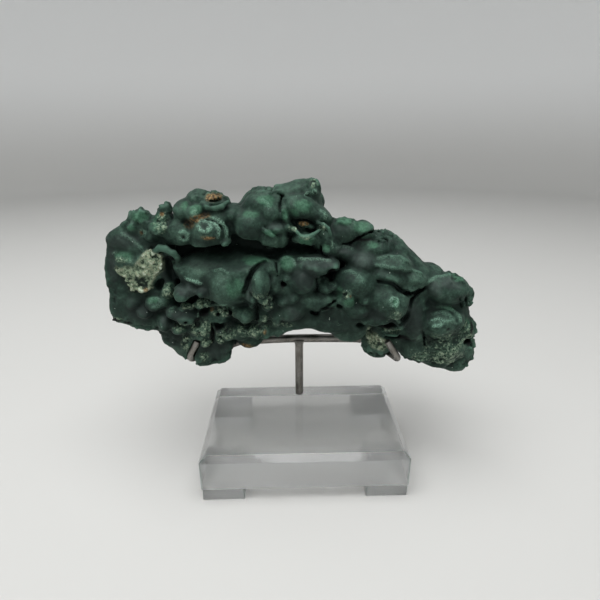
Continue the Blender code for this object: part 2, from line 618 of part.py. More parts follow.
def build_seats(bar, left, right):
    """Cutting tool for the seat: slots round the crossbar, the arms and the prongs."""
    down = Vector((0.0, 0.0, -SLOT_REACH))
    forward = Vector((0.0, -SLOT_REACH, 0.0))
    shape = bmesh.new()
    add_slot(shape, bar[::SLOT_STRIDE], POST_DIAMETER / 2 + SEAT_GAP, down)
    for arm in (left, right):
        *shaft, tip = arm
        beyond = tip + (tip - shaft[-1]).normalized() * SEAT_GAP
        prong = shaft[-BEND_STEPS:] + [beyond]
        add_slot(shape, shaft[:-1], ARM_DIAMETER / 2 + SEAT_GAP, down)
        add_slot(shape, prong, ARM_DIAMETER / 2 + SEAT_GAP, forward)
    seats = make_cutter(add_object("stone_seats", shape))
    fuse(seats, SEAT_VOXEL)
    thin_out(seats, SEAT_TRIANGLES)
    return seats


def main():
    """Build the whole object."""
    clear_scene()
    malachite = make_material("malachite")
    acrylic = make_material("clear_acrylic")
    steel = make_material("brushed_steel")

    build_block(acrylic)
    for depth, side_y in (("front", -1), ("rear", 1)):
        for side, side_x in (("left", -1), ("right", 1)):
            build_foot(f"foot_{depth}_{side}", side_x, side_y, acrylic)
    build_post(steel)
    bar = crossbar_points()
    left = round_corners(ARM_LEFT_ROUTE)
    right = round_corners(ARM_RIGHT_ROUTE)
    build_rod("crossbar", bar, POST_DIAMETER, steel)
    build_rod("arm_left", left, ARM_DIAMETER, steel)
    build_rod("arm_right", right, ARM_DIAMETER, steel)
    build_stone(malachite, build_seats(bar, left, right))


main()
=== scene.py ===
"""The look of a malachite specimen on its steel and acrylic stand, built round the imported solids.

The stone is a distance field: rounded lobes blended into each other, hollowed, roughened where
crystals and matrix show, and meshed. Lengths are in millimetres until a mesh is made, except
where a comment says so. +X is to the right, +Y to the rear and +Z up, in the solids' own frame.
"""
from math import cos, pi, radians, sin, sqrt

import bmesh
import bpy
import numpy as np
from mathutils import Matrix, Vector


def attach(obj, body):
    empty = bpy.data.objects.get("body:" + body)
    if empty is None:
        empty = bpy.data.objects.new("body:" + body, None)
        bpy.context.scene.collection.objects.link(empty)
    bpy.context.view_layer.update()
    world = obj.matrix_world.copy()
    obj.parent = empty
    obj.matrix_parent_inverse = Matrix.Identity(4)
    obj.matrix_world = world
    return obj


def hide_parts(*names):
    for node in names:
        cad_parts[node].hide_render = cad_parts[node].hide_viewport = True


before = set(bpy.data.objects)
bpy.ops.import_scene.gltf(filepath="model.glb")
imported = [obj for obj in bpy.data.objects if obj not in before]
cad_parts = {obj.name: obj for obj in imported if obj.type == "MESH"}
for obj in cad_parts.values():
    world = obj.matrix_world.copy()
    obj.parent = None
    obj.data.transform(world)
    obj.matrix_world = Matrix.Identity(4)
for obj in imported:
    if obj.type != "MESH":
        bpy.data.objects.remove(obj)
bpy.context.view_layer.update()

MM = 0.001

# ---------------------------------------------------------------- camera and stage
CAMERA_PLACE = (-7.8, -293.4, 235.9)
CAMERA_PITCH = 20.44             # degrees below the horizon
CAMERA_YAW = -1.52               # degrees, positive turns to the left
CAMERA_ROLL = -0.22
CAMERA_LENS = 27.78
SENSOR = 36.0
CLIP_NEAR, CLIP_FAR = 0.01, 20.0            # metres
PICTURE_SIZE = 600.0             # the picture's width and height in picture elements
PICTURE_MIDDLE = (300.3, 300.0)  # where the camera's axis meets it
PICTURE_MM = 0.67                # what a picture element spans at the stone's middle
FOCAL = CAMERA_LENS / SENSOR * PICTURE_SIZE

FLOOR_RADIUS = 1700.0
SWEEP_RADIUS, SWEEP_TOP = 500.0, 2600.0     # the floor's curve up into the backdrop
SWEEP_SIDES, SWEEP_STEPS = 96, 24
FLOOR_GAP = 0.1                  # air under the feet
WORLD_COLOUR, WORLD_STRENGTH = (0.90, 0.93, 0.95, 1.0), 0.03
LIGHT_AIM = (0, 0, 120)
# Lights: name, place, width and height in millimetres, power in watts.
LIGHTS = [
    ("ceiling_light", (-150, -250, 1500), (1700, 1500), 37.0),
    ("front_fill", (-700, -1100, 700), (900, 700), 1.6),
]

# ---------------------------------------------------------------- stand, as in the solids
BLOCK_WIDTH, BLOCK_DEPTH, BLOCK_HEIGHT = 140.0, 92.0, 25.0
BLOCK_X = 2.0
BLOCK_BOTTOM = 9.0
BLOCK_BEVEL = 4.0
BLOCK_CORNER = 1.2
FOOT_SIZE, FOOT_HEIGHT = 28.0, 8.7
FOOT_INSET = 0.8
FOOT_EASE = 0.6
POLISH, POLISH_STEPS = 0.35, 3   # rounding of the polished edges
POST_DIAMETER = 6.35
ARM_DIAMETER = 4.8
POST_Y = 32.0
BAR_Z, BAR_BOW = 82.0, 1.0
BAR_LEFT, BAR_RIGHT = -34.0, 48.0
GAP = 0.3
BEND_CUT = 5.0
ARM_LEFT_ROUTE = [(-34.5, 32, 82), (-42, 32, 82), (-78.8, 1, 82), (-71.2, 0, 97.5)]
ARM_RIGHT_ROUTE = [(48.5, 32, 82), (54, 32, 82), (69.6, -4.3, 82), (60.2, -4.6, 96.9)]
BAR_STEPS = 12
BEND_SHARE, BEND_STEPS = 0.45, 8
CORNER_STEPS = 6
EDGE_ANGLE = radians(25)         # edges that turn by more than this are polished round
SMALL_FACE = 60.0                # square millimetres; larger faces are shaded flat
ROD_SIDES = 32
ROD_SPACING = 1.0
END_EASE = 0.4                   # rounding of a rod's cut ends
FLARE, FLARE_HEIGHT = 2.2, 6.5   # the brazed collar at the post's head
# Weld beads: half length along the rod, and how far they stand out.
BAR_END_BEAD, ARM_BEAD = (3.0, 0.35), (2.2, 0.5)
# Where the colour of the heated metal starts and stops to fade, from the rod's end.
POST_HEAT, BAR_HEAT, ARM_HEAT = (3.0, 14.0), (2.0, 12.0), (2.0, 11.0)
BAR_MIDDLE_HEAT = 10.0           # half length of the heated stretch over the post

# ---------------------------------------------------------------- stone
STEP = 0.78                      # spacing of the lattice that the stone is meshed on
STONE_TRIANGLES = 190000
STONE_LOW, STONE_HIGH = (-134, -34, 60), (134, 56, 212)
FAR = 60.0                       # the distance that empty space starts with
MARGIN = 3.0                     # room round a form in the window that it is worked out in
WARPS = [(13.0, 0.8, 0), (5.5, 0.5, 7)]     # size, amount and seed of each waviness
SHRINK = 0.5                     # taken off all over, which keeps the creases sharp
SWELL = (1.3, 0.4, 1.1)          # added to each lobe's sizes first, so that neighbours meet
WIDE_FILL = (4.0, 0.7)           # how wide and how close to the surface valleys are filled
FINE_FILL = (1.6, 0.3)           # the same again after the small lobes
FILL_BLEND, FILL_DEPTH = 1.2, 7.0
SMALL_LOBE = 6.3                 # narrower lobes stand on the filled surface and stay crisp
SMALL_BLEND = 1.1                # added to their blends
BLEND_SHARE = 1.5                # of each lobe's own blend
BODY_FORWARD = 2.0               # how far the bodies come forward to carry the lobes
SIGHT_STEP = 0.4                 # how finely a sight line is searched for the surface
CURL_REACH = 4.0                 # a longer jump between two points of a line is a gap in it
LEAST_HEIGHT = 0.94              # of the height that a form shows, the least that is its own
LINE_SPACING = 1.2               # between the places where a curl or a crease meets the surface
CREASE_STEPS = 4                 # rods laid one below the other to cut a crease
PALE_CURLS = {"knob_outer_rim", "knob_inner_rim", "knob_bowl_rim", "small_knob_rim",
              "rim_plate", "crest_chip", "scroll_plate", "low_ring", "dome_ring"}
# A raised line's pale colour is partly pale rims and partly painted highlight on its crest.
LINE_WIDTH = (0.6, 1.7)          # where a raised line's pale colour starts and stops to fade
LINE_STRENGTH = 0.45             # of the pale colour, on the curls that aren't in PALE_CURLS
CREASE_TAPER = 0.6               # how much narrower a crease's bottom is
SKIN = 5.0                       # how deep the roughening reaches
SPOT_DEPTH = 4.0                 # a spot's half depth beyond its larger half size
SPOT_EDGE = (0.65, 1.25)         # where a spot starts and stops to fade, in half sizes
REAR = (24.0, 32.0)              # depths between which the front's finish turns into the rear's
SLOT_REACH, SLOT_STEPS = 16.0, 12           # the slots that let the stone be lifted off
PRONG_POINTS = 9                 # points of an arm's route that lie in its prong
SHAPE_KINDS = {"ragged"}         # kinds of spot that shape the stone and don't colour it
# Layers of noise: amount, size and seed. Cells: amount, size and seed.
SPOT_EDGE_NOISE = [(0.28, 2.4, 31), (0.12, 1.2, 32)]
MATRIX_EDGE_NOISE = [(1.2, 3.5, 33)]
RAGGED_NOISE = [(1.7, 3.2, 48), (1.1, 1.9, 49)]
SKIN_NOISE = [(0.30, 3.0, 42), (0.15, 1.7, 51)]
CRYSTAL_CELLS, CRYSTAL_NOISE = (1.5, 1.9, 44), [(0.9, 3.6, 45)]
MATRIX_CELLS, MATRIX_NOISE = (1.7, 2.2, 46), [(1.5, 4.2, 47)]
LUMP_SIZE, LUMP_SEED, LUMP_LEVEL = 9.0, 41, 0.6
LUMP_FRONT, LUMP_REAR = 0.35, 1.1           # height of the low lumps, and what the rear adds
REAR_CRUST, REAR_CRUST_SHARE, REAR_CRUST_NOISE = (0.05, 0.35), 0.55, (22.0, 43)
# What the material reads: the field averaged over a radius, and what that is divided by.
GRAIN_MARK, FOLD_MARK = (1.2, 0.6), (3.0, 1.5)
RECESS_SHADE_RADIUS = 9.0                # the share of stone this near tells how enclosed a place is, which sets the painted shade in recesses
MARK_LIMIT = 6.0

# The stone's forms were read off the picture: each has the place of its middle in the
# picture, across and down, and a depth. Sizes are in millimetres. along_sight turns a place
# and a depth into a point of the stone.

# Bodies that carry the lobes: name, place, depth, half width, depth and height, roll, blend.
BODIES = [
    ("core_left", (205, 319), 20, (29, 22, 24), 0, 6),
    ("core_left_low", (198, 341), 15, (18, 13, 12), 12, 6),
    ("core_middle", (283, 299), 20, (42, 25, 18), 0, 6),
    ("core_right_a", (345, 299), 17, (26, 24, 21), 0, 6),
    ("core_right_b", (393, 298), 17, (27, 25, 23), -10, 6),
    ("core_right_c", (438, 312), 18, (22, 22, 21), -10, 6),
    ("core_far_right", (448, 332), 18, (17, 20, 18), -10, 6),
    ("core_low_right", (385, 331), 20, (20, 20, 15), -12, 6),
    ("back_far_left", (150, 268), 22, (18, 13, 31), 0, 6),
    ("back_left", (190, 268), 28, (26, 14, 31), 0, 6),
    ("back_middle", (275, 245), 28, (42, 15, 29), 0, 6),
    ("back_right", (368, 266), 26, (40, 15, 22), -20, 6),
    ("row_left", (222, 219), 19, (33, 17, 10), -2, 5),
    ("row_right", (262, 217), 18, (17, 16, 12), 0, 5),
    ("top", (299, 206), 17, (16, 15, 12), 0, 5),
    ("shelf_left", (212, 269), 12, (21, 20, 14), 0, 5),
    ("shelf_middle", (240, 276), 12, (28, 22, 19), 0, 5),
    ("shelf_slope", (292, 270), 14, (24, 20, 15), 0, 5),
    ("shelf_right", (291, 280), 10, (17, 18, 13), 0, 5),
    ("slope_left", (376, 256), 18, (25, 17, 11), -16, 5),
    ("slope_right", (417, 276), 18, (21, 16, 10), -16, 5),
]

# The thin flared plate at the left and the pale matrix on two faces, as outlines of places.
PLATE_DEPTH = 6.0                # the depth at which the outline is read
PLATE_FRONT, PLATE_BACK = 2.0, 12.0
PLATE_EDGE, PLATE_BLEND = 1.6, 3.0
PLATE_OUTLINE = [
    (112, 232), (118, 228.5), (127, 222), (133, 214), (138, 209.5), (140.5, 207), (143, 210.5),
    (148, 211), (150, 215), (152, 218.5), (156, 218), (159, 214), (161, 208), (166, 203),
    (170, 205), (172, 211), (175, 240), (176, 300), (168, 336), (163, 333), (157, 328.5),
    (152, 327.5), (145, 328), (138, 326), (130, 323.5), (121, 321), (116, 318), (113, 313),
    (112, 305), (113.5, 292.5), (111, 285), (109, 275), (107, 268), (106.5, 259), (107, 249),
    (108.5, 236),
]
MATRIX_DEPTH, MATRIX_REAR = -2.0, 2.0       # where it is read, and where its colour stops
MATRIX_FRONT, MATRIX_BACK = -2.5, 8.0
MATRIX_EDGE, MATRIX_BLEND = 1.2, 1.2
MATRIX_OUTLINE = [
    (114, 270), (121, 267), (129, 266.5), (134, 267), (136.5, 261), (140, 256.5), (143, 254),
    (147, 250.5), (151, 249), (155, 252), (160, 253.5), (162.5, 257), (164.5, 262), (163, 270),
    (158, 275), (154, 282), (151, 290), (147, 293), (142, 293.5), (136, 293), (131, 295),
    (128, 292), (124.5, 284.5), (120, 277),
]
LOW_MATRIX_DEPTH, LOW_MATRIX_REAR = 0.0, 12.0
LOW_MATRIX_OUTLINE = [
    (369, 323.5), (372, 328.5), (377, 333), (383, 337), (388, 341), (390, 346), (384, 350.5),
    (376, 349), (369, 346.5), (367.5, 340), (366.5, 331),
]

# Lobes: name, place, depth, half width, depth and height as they look, roll, blend.
PLATE_LOBES = [
    ("plate_swell", (127, 241), 5, (9, 6, 4.2), -24, 4),
    ("plate_corner", (118, 238), 7, (4.5, 6, 4), 0, 4),
    ("plate_peak", (140, 220), 7, (5, 6, 5), 0, 4),
    ("plate_bead", (131.5, 228), 3, (3, 3.5, 2.4), -10, 0.8),
    ("plate_middle", (118, 279), 8, (5, 7.5, 15), 4, 5),
    ("plate_low", (126, 303), 7.5, (7, 8, 9), 0, 4),
    ("plate_low_middle", (139, 313), 6, (8.5, 9, 8), -10, 3),
    ("plate_foot", (152, 317), 8, (7, 9, 7.5), 0, 3),
    ("plate_knot", (134, 303), 3, (5, 7, 4), 20, 1.5),
    ("plate_knot_low", (146, 312), 1.5, (5, 8, 3.5), -20, 1.5),
    ("crust_stem", (163, 217), 7, (4, 7, 6.5), 0, 1.5),
    ("crust_top", (166, 207), 6, (3, 4.5, 2.2), 15, 1),
    ("crust_left", (156, 227), 4, (4, 8, 4), 0, 1.2),
    ("crust_right", (164, 229), 3.5, (4.5, 8, 5), 0, 1.2),
    ("crust_low", (153, 236), 4, (4.5, 7, 3.4), -10, 1.5),
    ("patch_head_a", (115, 254), 3.5, (3.2, 4, 2), 10, 1.2),
    ("patch_head_b", (121, 257), 2.5, (4.2, 5, 3), -10, 1.4),
    ("patch_head_c", (128, 255), 3, (3.6, 5, 2.4), 12, 1.4),
    ("patch_head_d", (126, 262), 2, (3.8, 5, 3), 0, 1.4),
    ("patch_head_e", (132.5, 261), 2, (3.4, 5, 3.6), 0, 1.4),
    ("patch_head_f", (118, 264), 3.5, (3.4, 5, 3), 0, 1.4),
    ("eye", (155, 302.5), 2, (6, 9, 5), -8, 1),
    ("wall_behind_lip", (166, 274), 12, (6, 11, 13), 0, 3),
    ("plate_fold", (132, 249), 6, (9, 6, 3.5), -14, 2.5),
]
LOWER_LEFT_LOBES = [
    ("tuft_high", (170, 288), 6, (4.5, 10, 4.5), 0, 1.2),
    ("tuft_low", (167, 298), 6, (4, 10, 5), 0, 1.2),
    ("scroll_left", (182.5, 292), -2, (5, 11, 5), 0, 0.6),
    ("scroll_left_core", (184.5, 295), -8, (3, 6.5, 3), 0, 0.8),
    ("scroll_middle", (193, 287), -1, (4.6, 11, 4.2), -15, 0.8),
    ("scroll_right", (203.5, 289.5), -4, (4.4, 11, 4.2), -20, 0.6),
    ("vug_bead", (201.5, 302.5), 0, (4, 9, 3.6), 0, 0.8),
    ("vug_bead_small", (208.5, 302), 0, (2, 7, 3.6), 0, 0.8),
    ("curl_a", (186, 304.5), 0, (3, 7, 2.2), 0, 0.6),
    ("curl_b", (192.5, 306), 0, (2.4, 7, 2), -20, 0.6),
    ("knuckle_left", (166, 320), 4, (5.2, 11, 7), 10, 1.2),
    ("knuckle_crown", (174, 311), 1, (5.5, 11, 3.8), -10, 1),
    ("knuckle_middle", (187, 315.5), -1, (7.6, 12, 4), -12, 1),
    ("pale_knuckle", (180.5, 325.5), 1, (5.6, 11, 4), -5, 0.8),
    ("thread", (199, 315), -2, (1.1, 4, 4), -15, 0.4),
    ("crystals_high", (197, 326), 3, (5, 10, 4), 10, 1.5),
    ("crystals_right", (206, 326.5), 3, (4.5, 10, 5), 0, 1.5),
    ("crystals_middle", (200, 333), 3, (5, 9, 4), 0, 1.5),
    ("crystals_low", (207, 340.5), 2, (4.2, 8, 3.6), 0, 1),
    ("crystals_left", (187.5, 336), 5, (3.6, 8, 3), 0, 1.5),
    ("crystals_tail", (185.5, 345), 7, (3, 7, 4.2), 0, 1.5),
    ("left_slope", (175, 334), 10, (7, 11, 8.5), -35, 3),
    ("low_lump", (206, 354), 6, (11.5, 9, 7), 0, 3),
    ("low_lump_right", (222, 351), 6, (6.5, 8, 6.5), 0, 2.5),
    ("low_lump_high", (214, 345), 8, (6, 9, 5), 0, 2),
    ("rim_shelf", (222, 310), 3, (8, 9, 3.8), -3, 1),
    ("rim_low", (221, 318), 3, (5.5, 9, 3), 10, 1.2),
    ("hollow_wall", (223, 326), 7, (6.5, 10, 5), 0, 2),
    ("khaki_vug", (229, 333), 3, (4.8, 9, 4.2), 0, 1),
    ("khaki_left", (221.5, 338), 4, (3, 8, 3.8), 0, 1),
    ("khaki_low", (228, 342), 6, (5, 8, 3.2), 0, 1.5),
    ("round_knob", (246.5, 313.5), 0, (5.8, 11, 6), 0, 0.8),
    ("knob_left", (237.5, 309), 2, (4.2, 10, 4.5), 0, 1.2),
    ("apron", (243, 329), 5, (7.5, 12, 6.5), 0, 1.8),
    ("apron_right", (255, 328), 4, (6, 12, 5.5), 0, 1.5),
    ("apron_low", (252, 338), 9, (8.5, 11, 4.5), 10, 2.5),
    ("apron_column", (266, 325), 6, (4.5, 12, 8.5), 0, 1.5),
    ("left_arch", (277, 325), 9, (8.5, 12, 5.5), 14, 2.5),
]
SHELF_LOBES = [
    ("bulge", (227, 284), -1, (13, 17, 13.5), 8, 3),
    ("bulge_left", (196, 272), 5, (9.5, 13, 8), -10, 4),
    ("shelf_tip", (181, 267), 4, (5, 9, 4), -20, 1.5),
    ("hood", (247, 265.5), -1, (15, 15, 4.2), 10, 2.5),
    ("hood_flank", (243, 279), -4, (6, 14, 10), 20, 2),
    ("finger_side", (250, 288), -6, (2.8, 11, 9), -8, 0.6),
    ("finger_foot_a", (255, 297), -8, (4, 10, 3.2), 0, 0.8),
    ("finger_foot_b", (263.5, 297), -9, (3.6, 10, 3), 0, 0.8),
    ("finger_bead", (252.5, 303.5), -6, (2.4, 7, 2.4), 0, 0.6),
    ("fringe_bead", (268.5, 303), -4, (4.4, 10, 4), 0, 0.8),
    ("fringe_bead_high", (268, 297), -7, (2.3, 6, 1.8), 20, 0.6),
    ("beside_finger", (268, 268), 0, (4, 12, 4.4), 0, 0.8),
    ("slope_fold", (274, 281), 1, (5.2, 12, 8.5), 0, 1.2),
    ("fold_a", (274, 267), -4, (1.8, 7, 4.4), 8, 0.5),
    ("fold_b", (279.5, 268.5), -3, (1.7, 7, 4.4), 8, 0.5),
    ("green_lobe", (288.5, 262.5), 1, (6, 13, 6.2), 20, 1),
    ("ledge_top", (301, 256), 8, (11, 13, 4), -3, 1.5),
    ("tongue", (286, 277), -3, (2.8, 10, 3.8), -38, 0.8),
    ("tongue_root", (289, 286), 1, (4, 11, 4), 0, 1.2),
    ("belly_dome", (291, 308), -1, (9.4, 15, 7.2), 5, 1.2),
    ("belly_brow", (283.5, 297.5), -2, (5.6, 12, 3.2), 8, 1),
    ("belly_brow_right", (294, 295), -2, (4.8, 13, 3.4), -5, 1),
    ("column", (277, 313), 3, (3.8, 13, 8), 0, 1.2),
    ("brown_column", (266, 313), 1, (3.2, 11, 5.4), 0, 1),
    ("low_belly", (296, 319), 7, (13.5, 13, 5.8), 4, 3),
]
UPPER_ROW_LOBES = [
    ("top_left_knob", (199.5, 197), 13, (7, 10, 4.2), -3, 1.2),
    ("left_end_knob", (183.5, 209.5), 5, (6, 10, 6.2), 0, 0.8),
    ("left_end_back", (187, 204), 12, (5.6, 9, 3.5), 15, 1.5),
    ("crystal_knob", (197, 212), 3, (5.6, 11, 5.8), 0, 0.8),
    ("rusty_knob", (215, 200.5), 9, (9, 11, 4.2), -6, 1),
    ("sloping_lobe", (222, 213.5), 8, (12, 12, 5.4), -14, 1.5),
    ("sloping_dome", (234, 213), 6, (6, 12, 5.2), -10, 1),
    ("ringed_knob", (211, 230), 4, (12.2, 16, 10.6), 0, 0.8),
    ("ringed_bead", (226.5, 242.5), -3, (3.2, 7, 2.8), 0, 0.8),
    ("ringed_chin", (205, 243), 2, (7.6, 11, 3.6), 0, 1.5),
    ("small_ringed_knob", (181.5, 232), 3, (7.4, 10, 8.4), 0, 1),
    ("small_knob_root", (173, 236), 7, (4, 9, 6), 0, 1.5),
    ("big_dome", (250.5, 224.5), 3, (10, 15.5, 10), 0, 0.7),
    ("back_rim", (262, 201), 23, (13, 10, 8), 12, 2),
    ("high_dome", (262, 204.5), 8, (11.2, 13, 7.6), -3, 0.8),
    ("high_dome_right", (271, 211), 5, (6.8, 13, 6.6), -8, 1),
    ("neck_lobe", (268, 219), 6, (7.6, 12, 4), -5, 1.2),
    ("ridged_knob", (270.5, 236), 3, (8.4, 12, 7.6), -10, 0.8),
    ("grey_top", (276.5, 226.5), 1, (6.2, 12, 3.5), 0, 0.8),
    ("knob_side", (283, 236), 5, (4, 11, 7), 8, 1.2),
]
TOP_LOBES = [
    ("crest_left", (283, 193), 15, (7.8, 10, 5.2), -5, 1.5),
    ("crest_middle", (299, 190.5), 15, (10.8, 11, 6), 12, 1.5),
    ("crest_end", (313.5, 191), 14, (4.4, 10, 7.8), 8, 1.2),
    ("crest_root", (292, 202), 13, (12.5, 13, 5.6), 0, 1.5),
    ("wedge", (303, 207.5), 4, (8.6, 12, 6.8), -12, 0.8),
    ("wedge_right", (317, 213), 5, (9, 11, 4.4), -36, 1.2),
    ("wedge_left", (293, 204.5), 4, (3.8, 11, 5), 50, 0.8),
    ("green_cheek", (286, 215.5), 3, (3.3, 9, 4.4), 20, 0.7),
    ("cheek_bead", (284, 209.5), 0, (1.7, 6, 2.2), 0, 0.6),
    ("fin", (327.5, 214.5), 11, (2.2, 8, 6), 42, 0.7),
    ("cavity_back", (305, 226), 12, (10, 11, 6.4), 0, 2),
    ("cavity_left", (291.5, 227), 2, (4, 8, 2.2), -38, 0.8),
    ("cavity_floor", (306, 237), 3, (7.8, 12, 3.2), 5, 1),
    ("drip_a", (302, 242), 0, (1.8, 8, 3.5), 0, 0.4),
    ("drip_b", (306, 243.5), -0.5, (1.7, 8, 3.7), 0, 0.4),
    ("drip_c", (310, 242.5), 0, (1.8, 8, 3.5), 0, 0.4),
    ("drip_root", (308, 240), 5, (6, 10, 4), 0, 1.2),
    ("drape", (327, 236), 4, (12.4, 12, 4.4), -58, 0.8),
    ("drape_low", (331, 247), 6, (4.8, 12, 7.6), -20, 1.2),
    ("drape_inner", (320, 240), 7, (4.2, 11, 6.4), -20, 1.2),
    ("cavity_bead", (326, 249), -1, (3.2, 8, 3.4), 0, 0.7),
]
RIGHT_SLOPE_LOBES = [
    ("dark_lobe", (344, 231), 9, (9.4, 13, 8.4), 0, 0.7),
    ("light_lobe", (361.5, 229.5), 11, (7.4, 12, 5), 8, 1),
    ("cleft_floor", (372, 238), 13, (9.6, 12, 4), 8, 1.5),
    ("slope_bead", (383, 235.5), 13, (6, 10, 3.5), -10, 1.2),
    ("slope_ledge", (375, 246.5), 9, (11.6, 13, 4.5), 0, 1.5),
    ("slope_crest", (393, 241), 17, (9.6, 13, 4.2), -33, 1.8),
    ("slope_side", (398, 250), 14, (10.5, 13, 5), -28, 2),
    ("slope_shoulder", (411, 258.5), 15, (8, 13, 4.6), -42, 2),
    ("brow", (345, 250.5), 7, (9.4, 13, 4.6), -14, 1.2),
    ("grey_dome", (363, 260.5), 3, (10, 13, 6.2), -10, 1),
    ("slope_dome", (392, 262.5), 4, (13.4, 15, 6.2), -8, 1),
    ("slope_foot", (417, 268), 12, (8.8, 13, 4.4), -20, 2),
    ("far_bump", (433, 270), 14, (6, 11, 4.2), -8, 1.5),
    ("mid_dome", (356, 280), -1, (11.6, 16, 8.8), -15, 1),
    ("mid_dome_left", (343, 281), 1, (5.4, 14, 7.6), 10, 1),
    ("long_ridge_left", (387, 274.5), 1, (12.6, 15, 6), -10, 1.2),
    ("long_ridge_right", (411, 276.5), 3, (10.8, 14, 5.6), -16, 1.2),
    ("small_dome", (408.5, 286), 1, (7, 12, 3.8), -5, 0.8),
    ("right_dome", (445, 287.5), 6, (14.8, 16, 10), -10, 2),
    ("right_dome_left", (434, 284), 6, (8.4, 15, 7.6), 0, 1.8),
    ("right_dome_cap", (456, 281.5), 9, (7.4, 12, 4.2), -22, 1.5),
    ("right_edge", (463, 294), 10, (5, 12, 7.4), -10, 1.5),
    ("edge_curl_a", (462.5, 301), 3, (1.6, 8, 4.6), -12, 0.5),
    ("edge_curl_b", (468, 298), 6, (1.5, 8, 5.2), -14, 0.5),
]
LOWER_RIGHT_LOBES = [
    ("level_finger", (316, 264), -3, (12, 14, 5.2), -2, 0.7),
    ("level_finger_tip", (333, 264.5), -3, (4.3, 12, 3.8), -10, 1),
    ("round_mass", (304, 277), -1, (9.3, 16, 9.8), 0, 1),
    ("round_flank", (294, 277), 0, (3.2, 13, 9.2), -6, 0.8),
    ("small_crest", (324.5, 284.5), 0, (5.3, 13, 4.8), -8, 0.8),
    ("side_ring", (333.5, 284), -1, (3, 10, 2.4), 0, 0.8),
    ("under_mass", (309, 297), 1, (9.4, 14, 6), 0, 1.5),
    ("above_slit", (322, 299), 0, (9.4, 14, 6.2), 14, 1.2),
    ("rough_lump", (344, 298), 0, (8, 14, 6), 0, 1.5),
    ("pit_lump", (349, 296), -7, (3.6, 9, 3.4), 0, 1),
    ("bead_lump", (363, 296), -4, (4.3, 11, 3.8), 0, 0.9),
    ("dark_slope", (357, 306), 0, (9.4, 14, 6), -5, 1.8),
    ("broad_dome", (388, 299), -1, (15.2, 18, 12), -16, 1.2),
    ("below_slit", (333, 319), 5, (17, 14, 8), 4, 2),
    ("below_slit_left", (312, 317), 5, (9.8, 14, 5), 10, 2),
    ("dark_column", (355, 322), 7, (8.2, 13, 10.5), 0, 1.8),
    ("striped_dome", (377, 315), 1, (9, 15, 6), -6, 1),
    ("pale_nub", (364, 320.5), -3, (3, 8, 1.7), 8, 0.5),
    ("right_arch", (345, 330), 9, (11.4, 12, 5.6), -14, 2.5),
    ("patch_body", (377, 341), 11, (9, 11, 9), -20, 2),
    ("low_right_edge", (376, 348), 12, (9.8, 9, 4.6), -18, 2),
    ("vug_roof", (397, 318), 1, (4.6, 13, 6), 20, 1.2),
    ("fringe_ledge", (391, 330.5), 3, (6.5, 11, 2.4), 4, 0.7),
    ("vug_wall", (413, 320), 4, (8, 14, 15), 8, 1.5),
    ("wall_root", (415, 342), 8, (11, 12, 8.5), -5, 2.5),
    ("low_dome", (418, 350), 7, (10, 11, 7), -14, 2.5),
    ("low_edge", (434, 356.5), 10, (12, 11, 6), -16, 3),
    ("right_low_dome", (438, 320), 3, (11.5, 16, 10.2), 0, 1.2),
    ("arc_dome", (448, 316), 4, (10.2, 14, 7), -22, 0.9),
    ("arc_step", (440, 321), -1, (9, 11, 6), -10, 0.8),
    ("right_rough", (444, 343), 7, (15, 15, 12), -8, 3),
    ("green_end", (464, 326), 8, (6.4, 12, 6.8), -10, 1.5),
    ("end_low", (464, 348), 10, (6, 12, 9), 12, 3),
    ("right_tip", (454, 359), 11, (9, 10, 7), -5, 3),
]

# The rear doesn't show in the picture. Its forms are placed by x, y and z in millimetres.
REAR_LOBES = [
    ("rear_wing", (-104, 28, 150), (12, 8, 15), 12, 2),
    ("rear_wing_top", (-84, 34, 168), (15, 9, 12), -10, 2),
    ("rear_left_high", (-66, 36, 147), (14, 10, 13), 20, 2),
    ("rear_left_mid", (-88, 32, 124), (13, 10, 12), 0, 2),
    ("rear_left_low", (-62, 34, 118), (16, 10, 11), 15, 2),
    ("rear_left_foot", (-74, 27, 96), (13, 10, 10), 0, 2),
    ("rear_row", (-46, 35, 176), (14, 9, 11), 0, 2),
    ("rear_middle_high", (-38, 37, 152), (16, 9, 12), -12, 2),
    ("rear_middle_low", (-32, 34, 127), (15, 11, 12), 8, 2),
    ("rear_crown", (-13, 36, 170), (14, 9, 13), 0, 2),
    ("rear_middle", (-6, 37, 144), (15, 9, 11), 25, 2),
    ("rear_belly", (4, 32, 122), (16, 11, 10), 0, 2),
    ("rear_top", (9, 26, 187), (9, 9, 11), 0, 2),
    ("rear_notch", (22, 36, 158), (15, 9, 12), -20, 2),
    ("rear_right_low", (34, 34, 132), (16, 10, 12), 0, 2),
    ("rear_right_high", (50, 35, 150), (15, 9, 11), -25, 2),
    ("rear_right_mid", (60, 34, 122), (15, 11, 13), 0, 2),
    ("rear_right_foot", (56, 30, 98), (14, 10, 9), -10, 2),
    ("rear_shoulder", (78, 33, 136), (14, 9, 10), -15, 2),
    ("rear_far_mid", (88, 32, 112), (15, 10, 13), 0, 2),
    ("rear_far_high", (105, 29, 121), (11, 9, 12), -8, 2),
    ("rear_far_low", (103, 28, 94), (14, 10, 12), 10, 2),
    ("rear_corner", (114, 22, 107), (9, 9, 12), 0, 2),
]
LOBES = [
    PLATE_LOBES, LOWER_LEFT_LOBES, SHELF_LOBES, UPPER_ROW_LOBES, TOP_LOBES,
    RIGHT_SLOPE_LOBES, LOWER_RIGHT_LOBES,
]

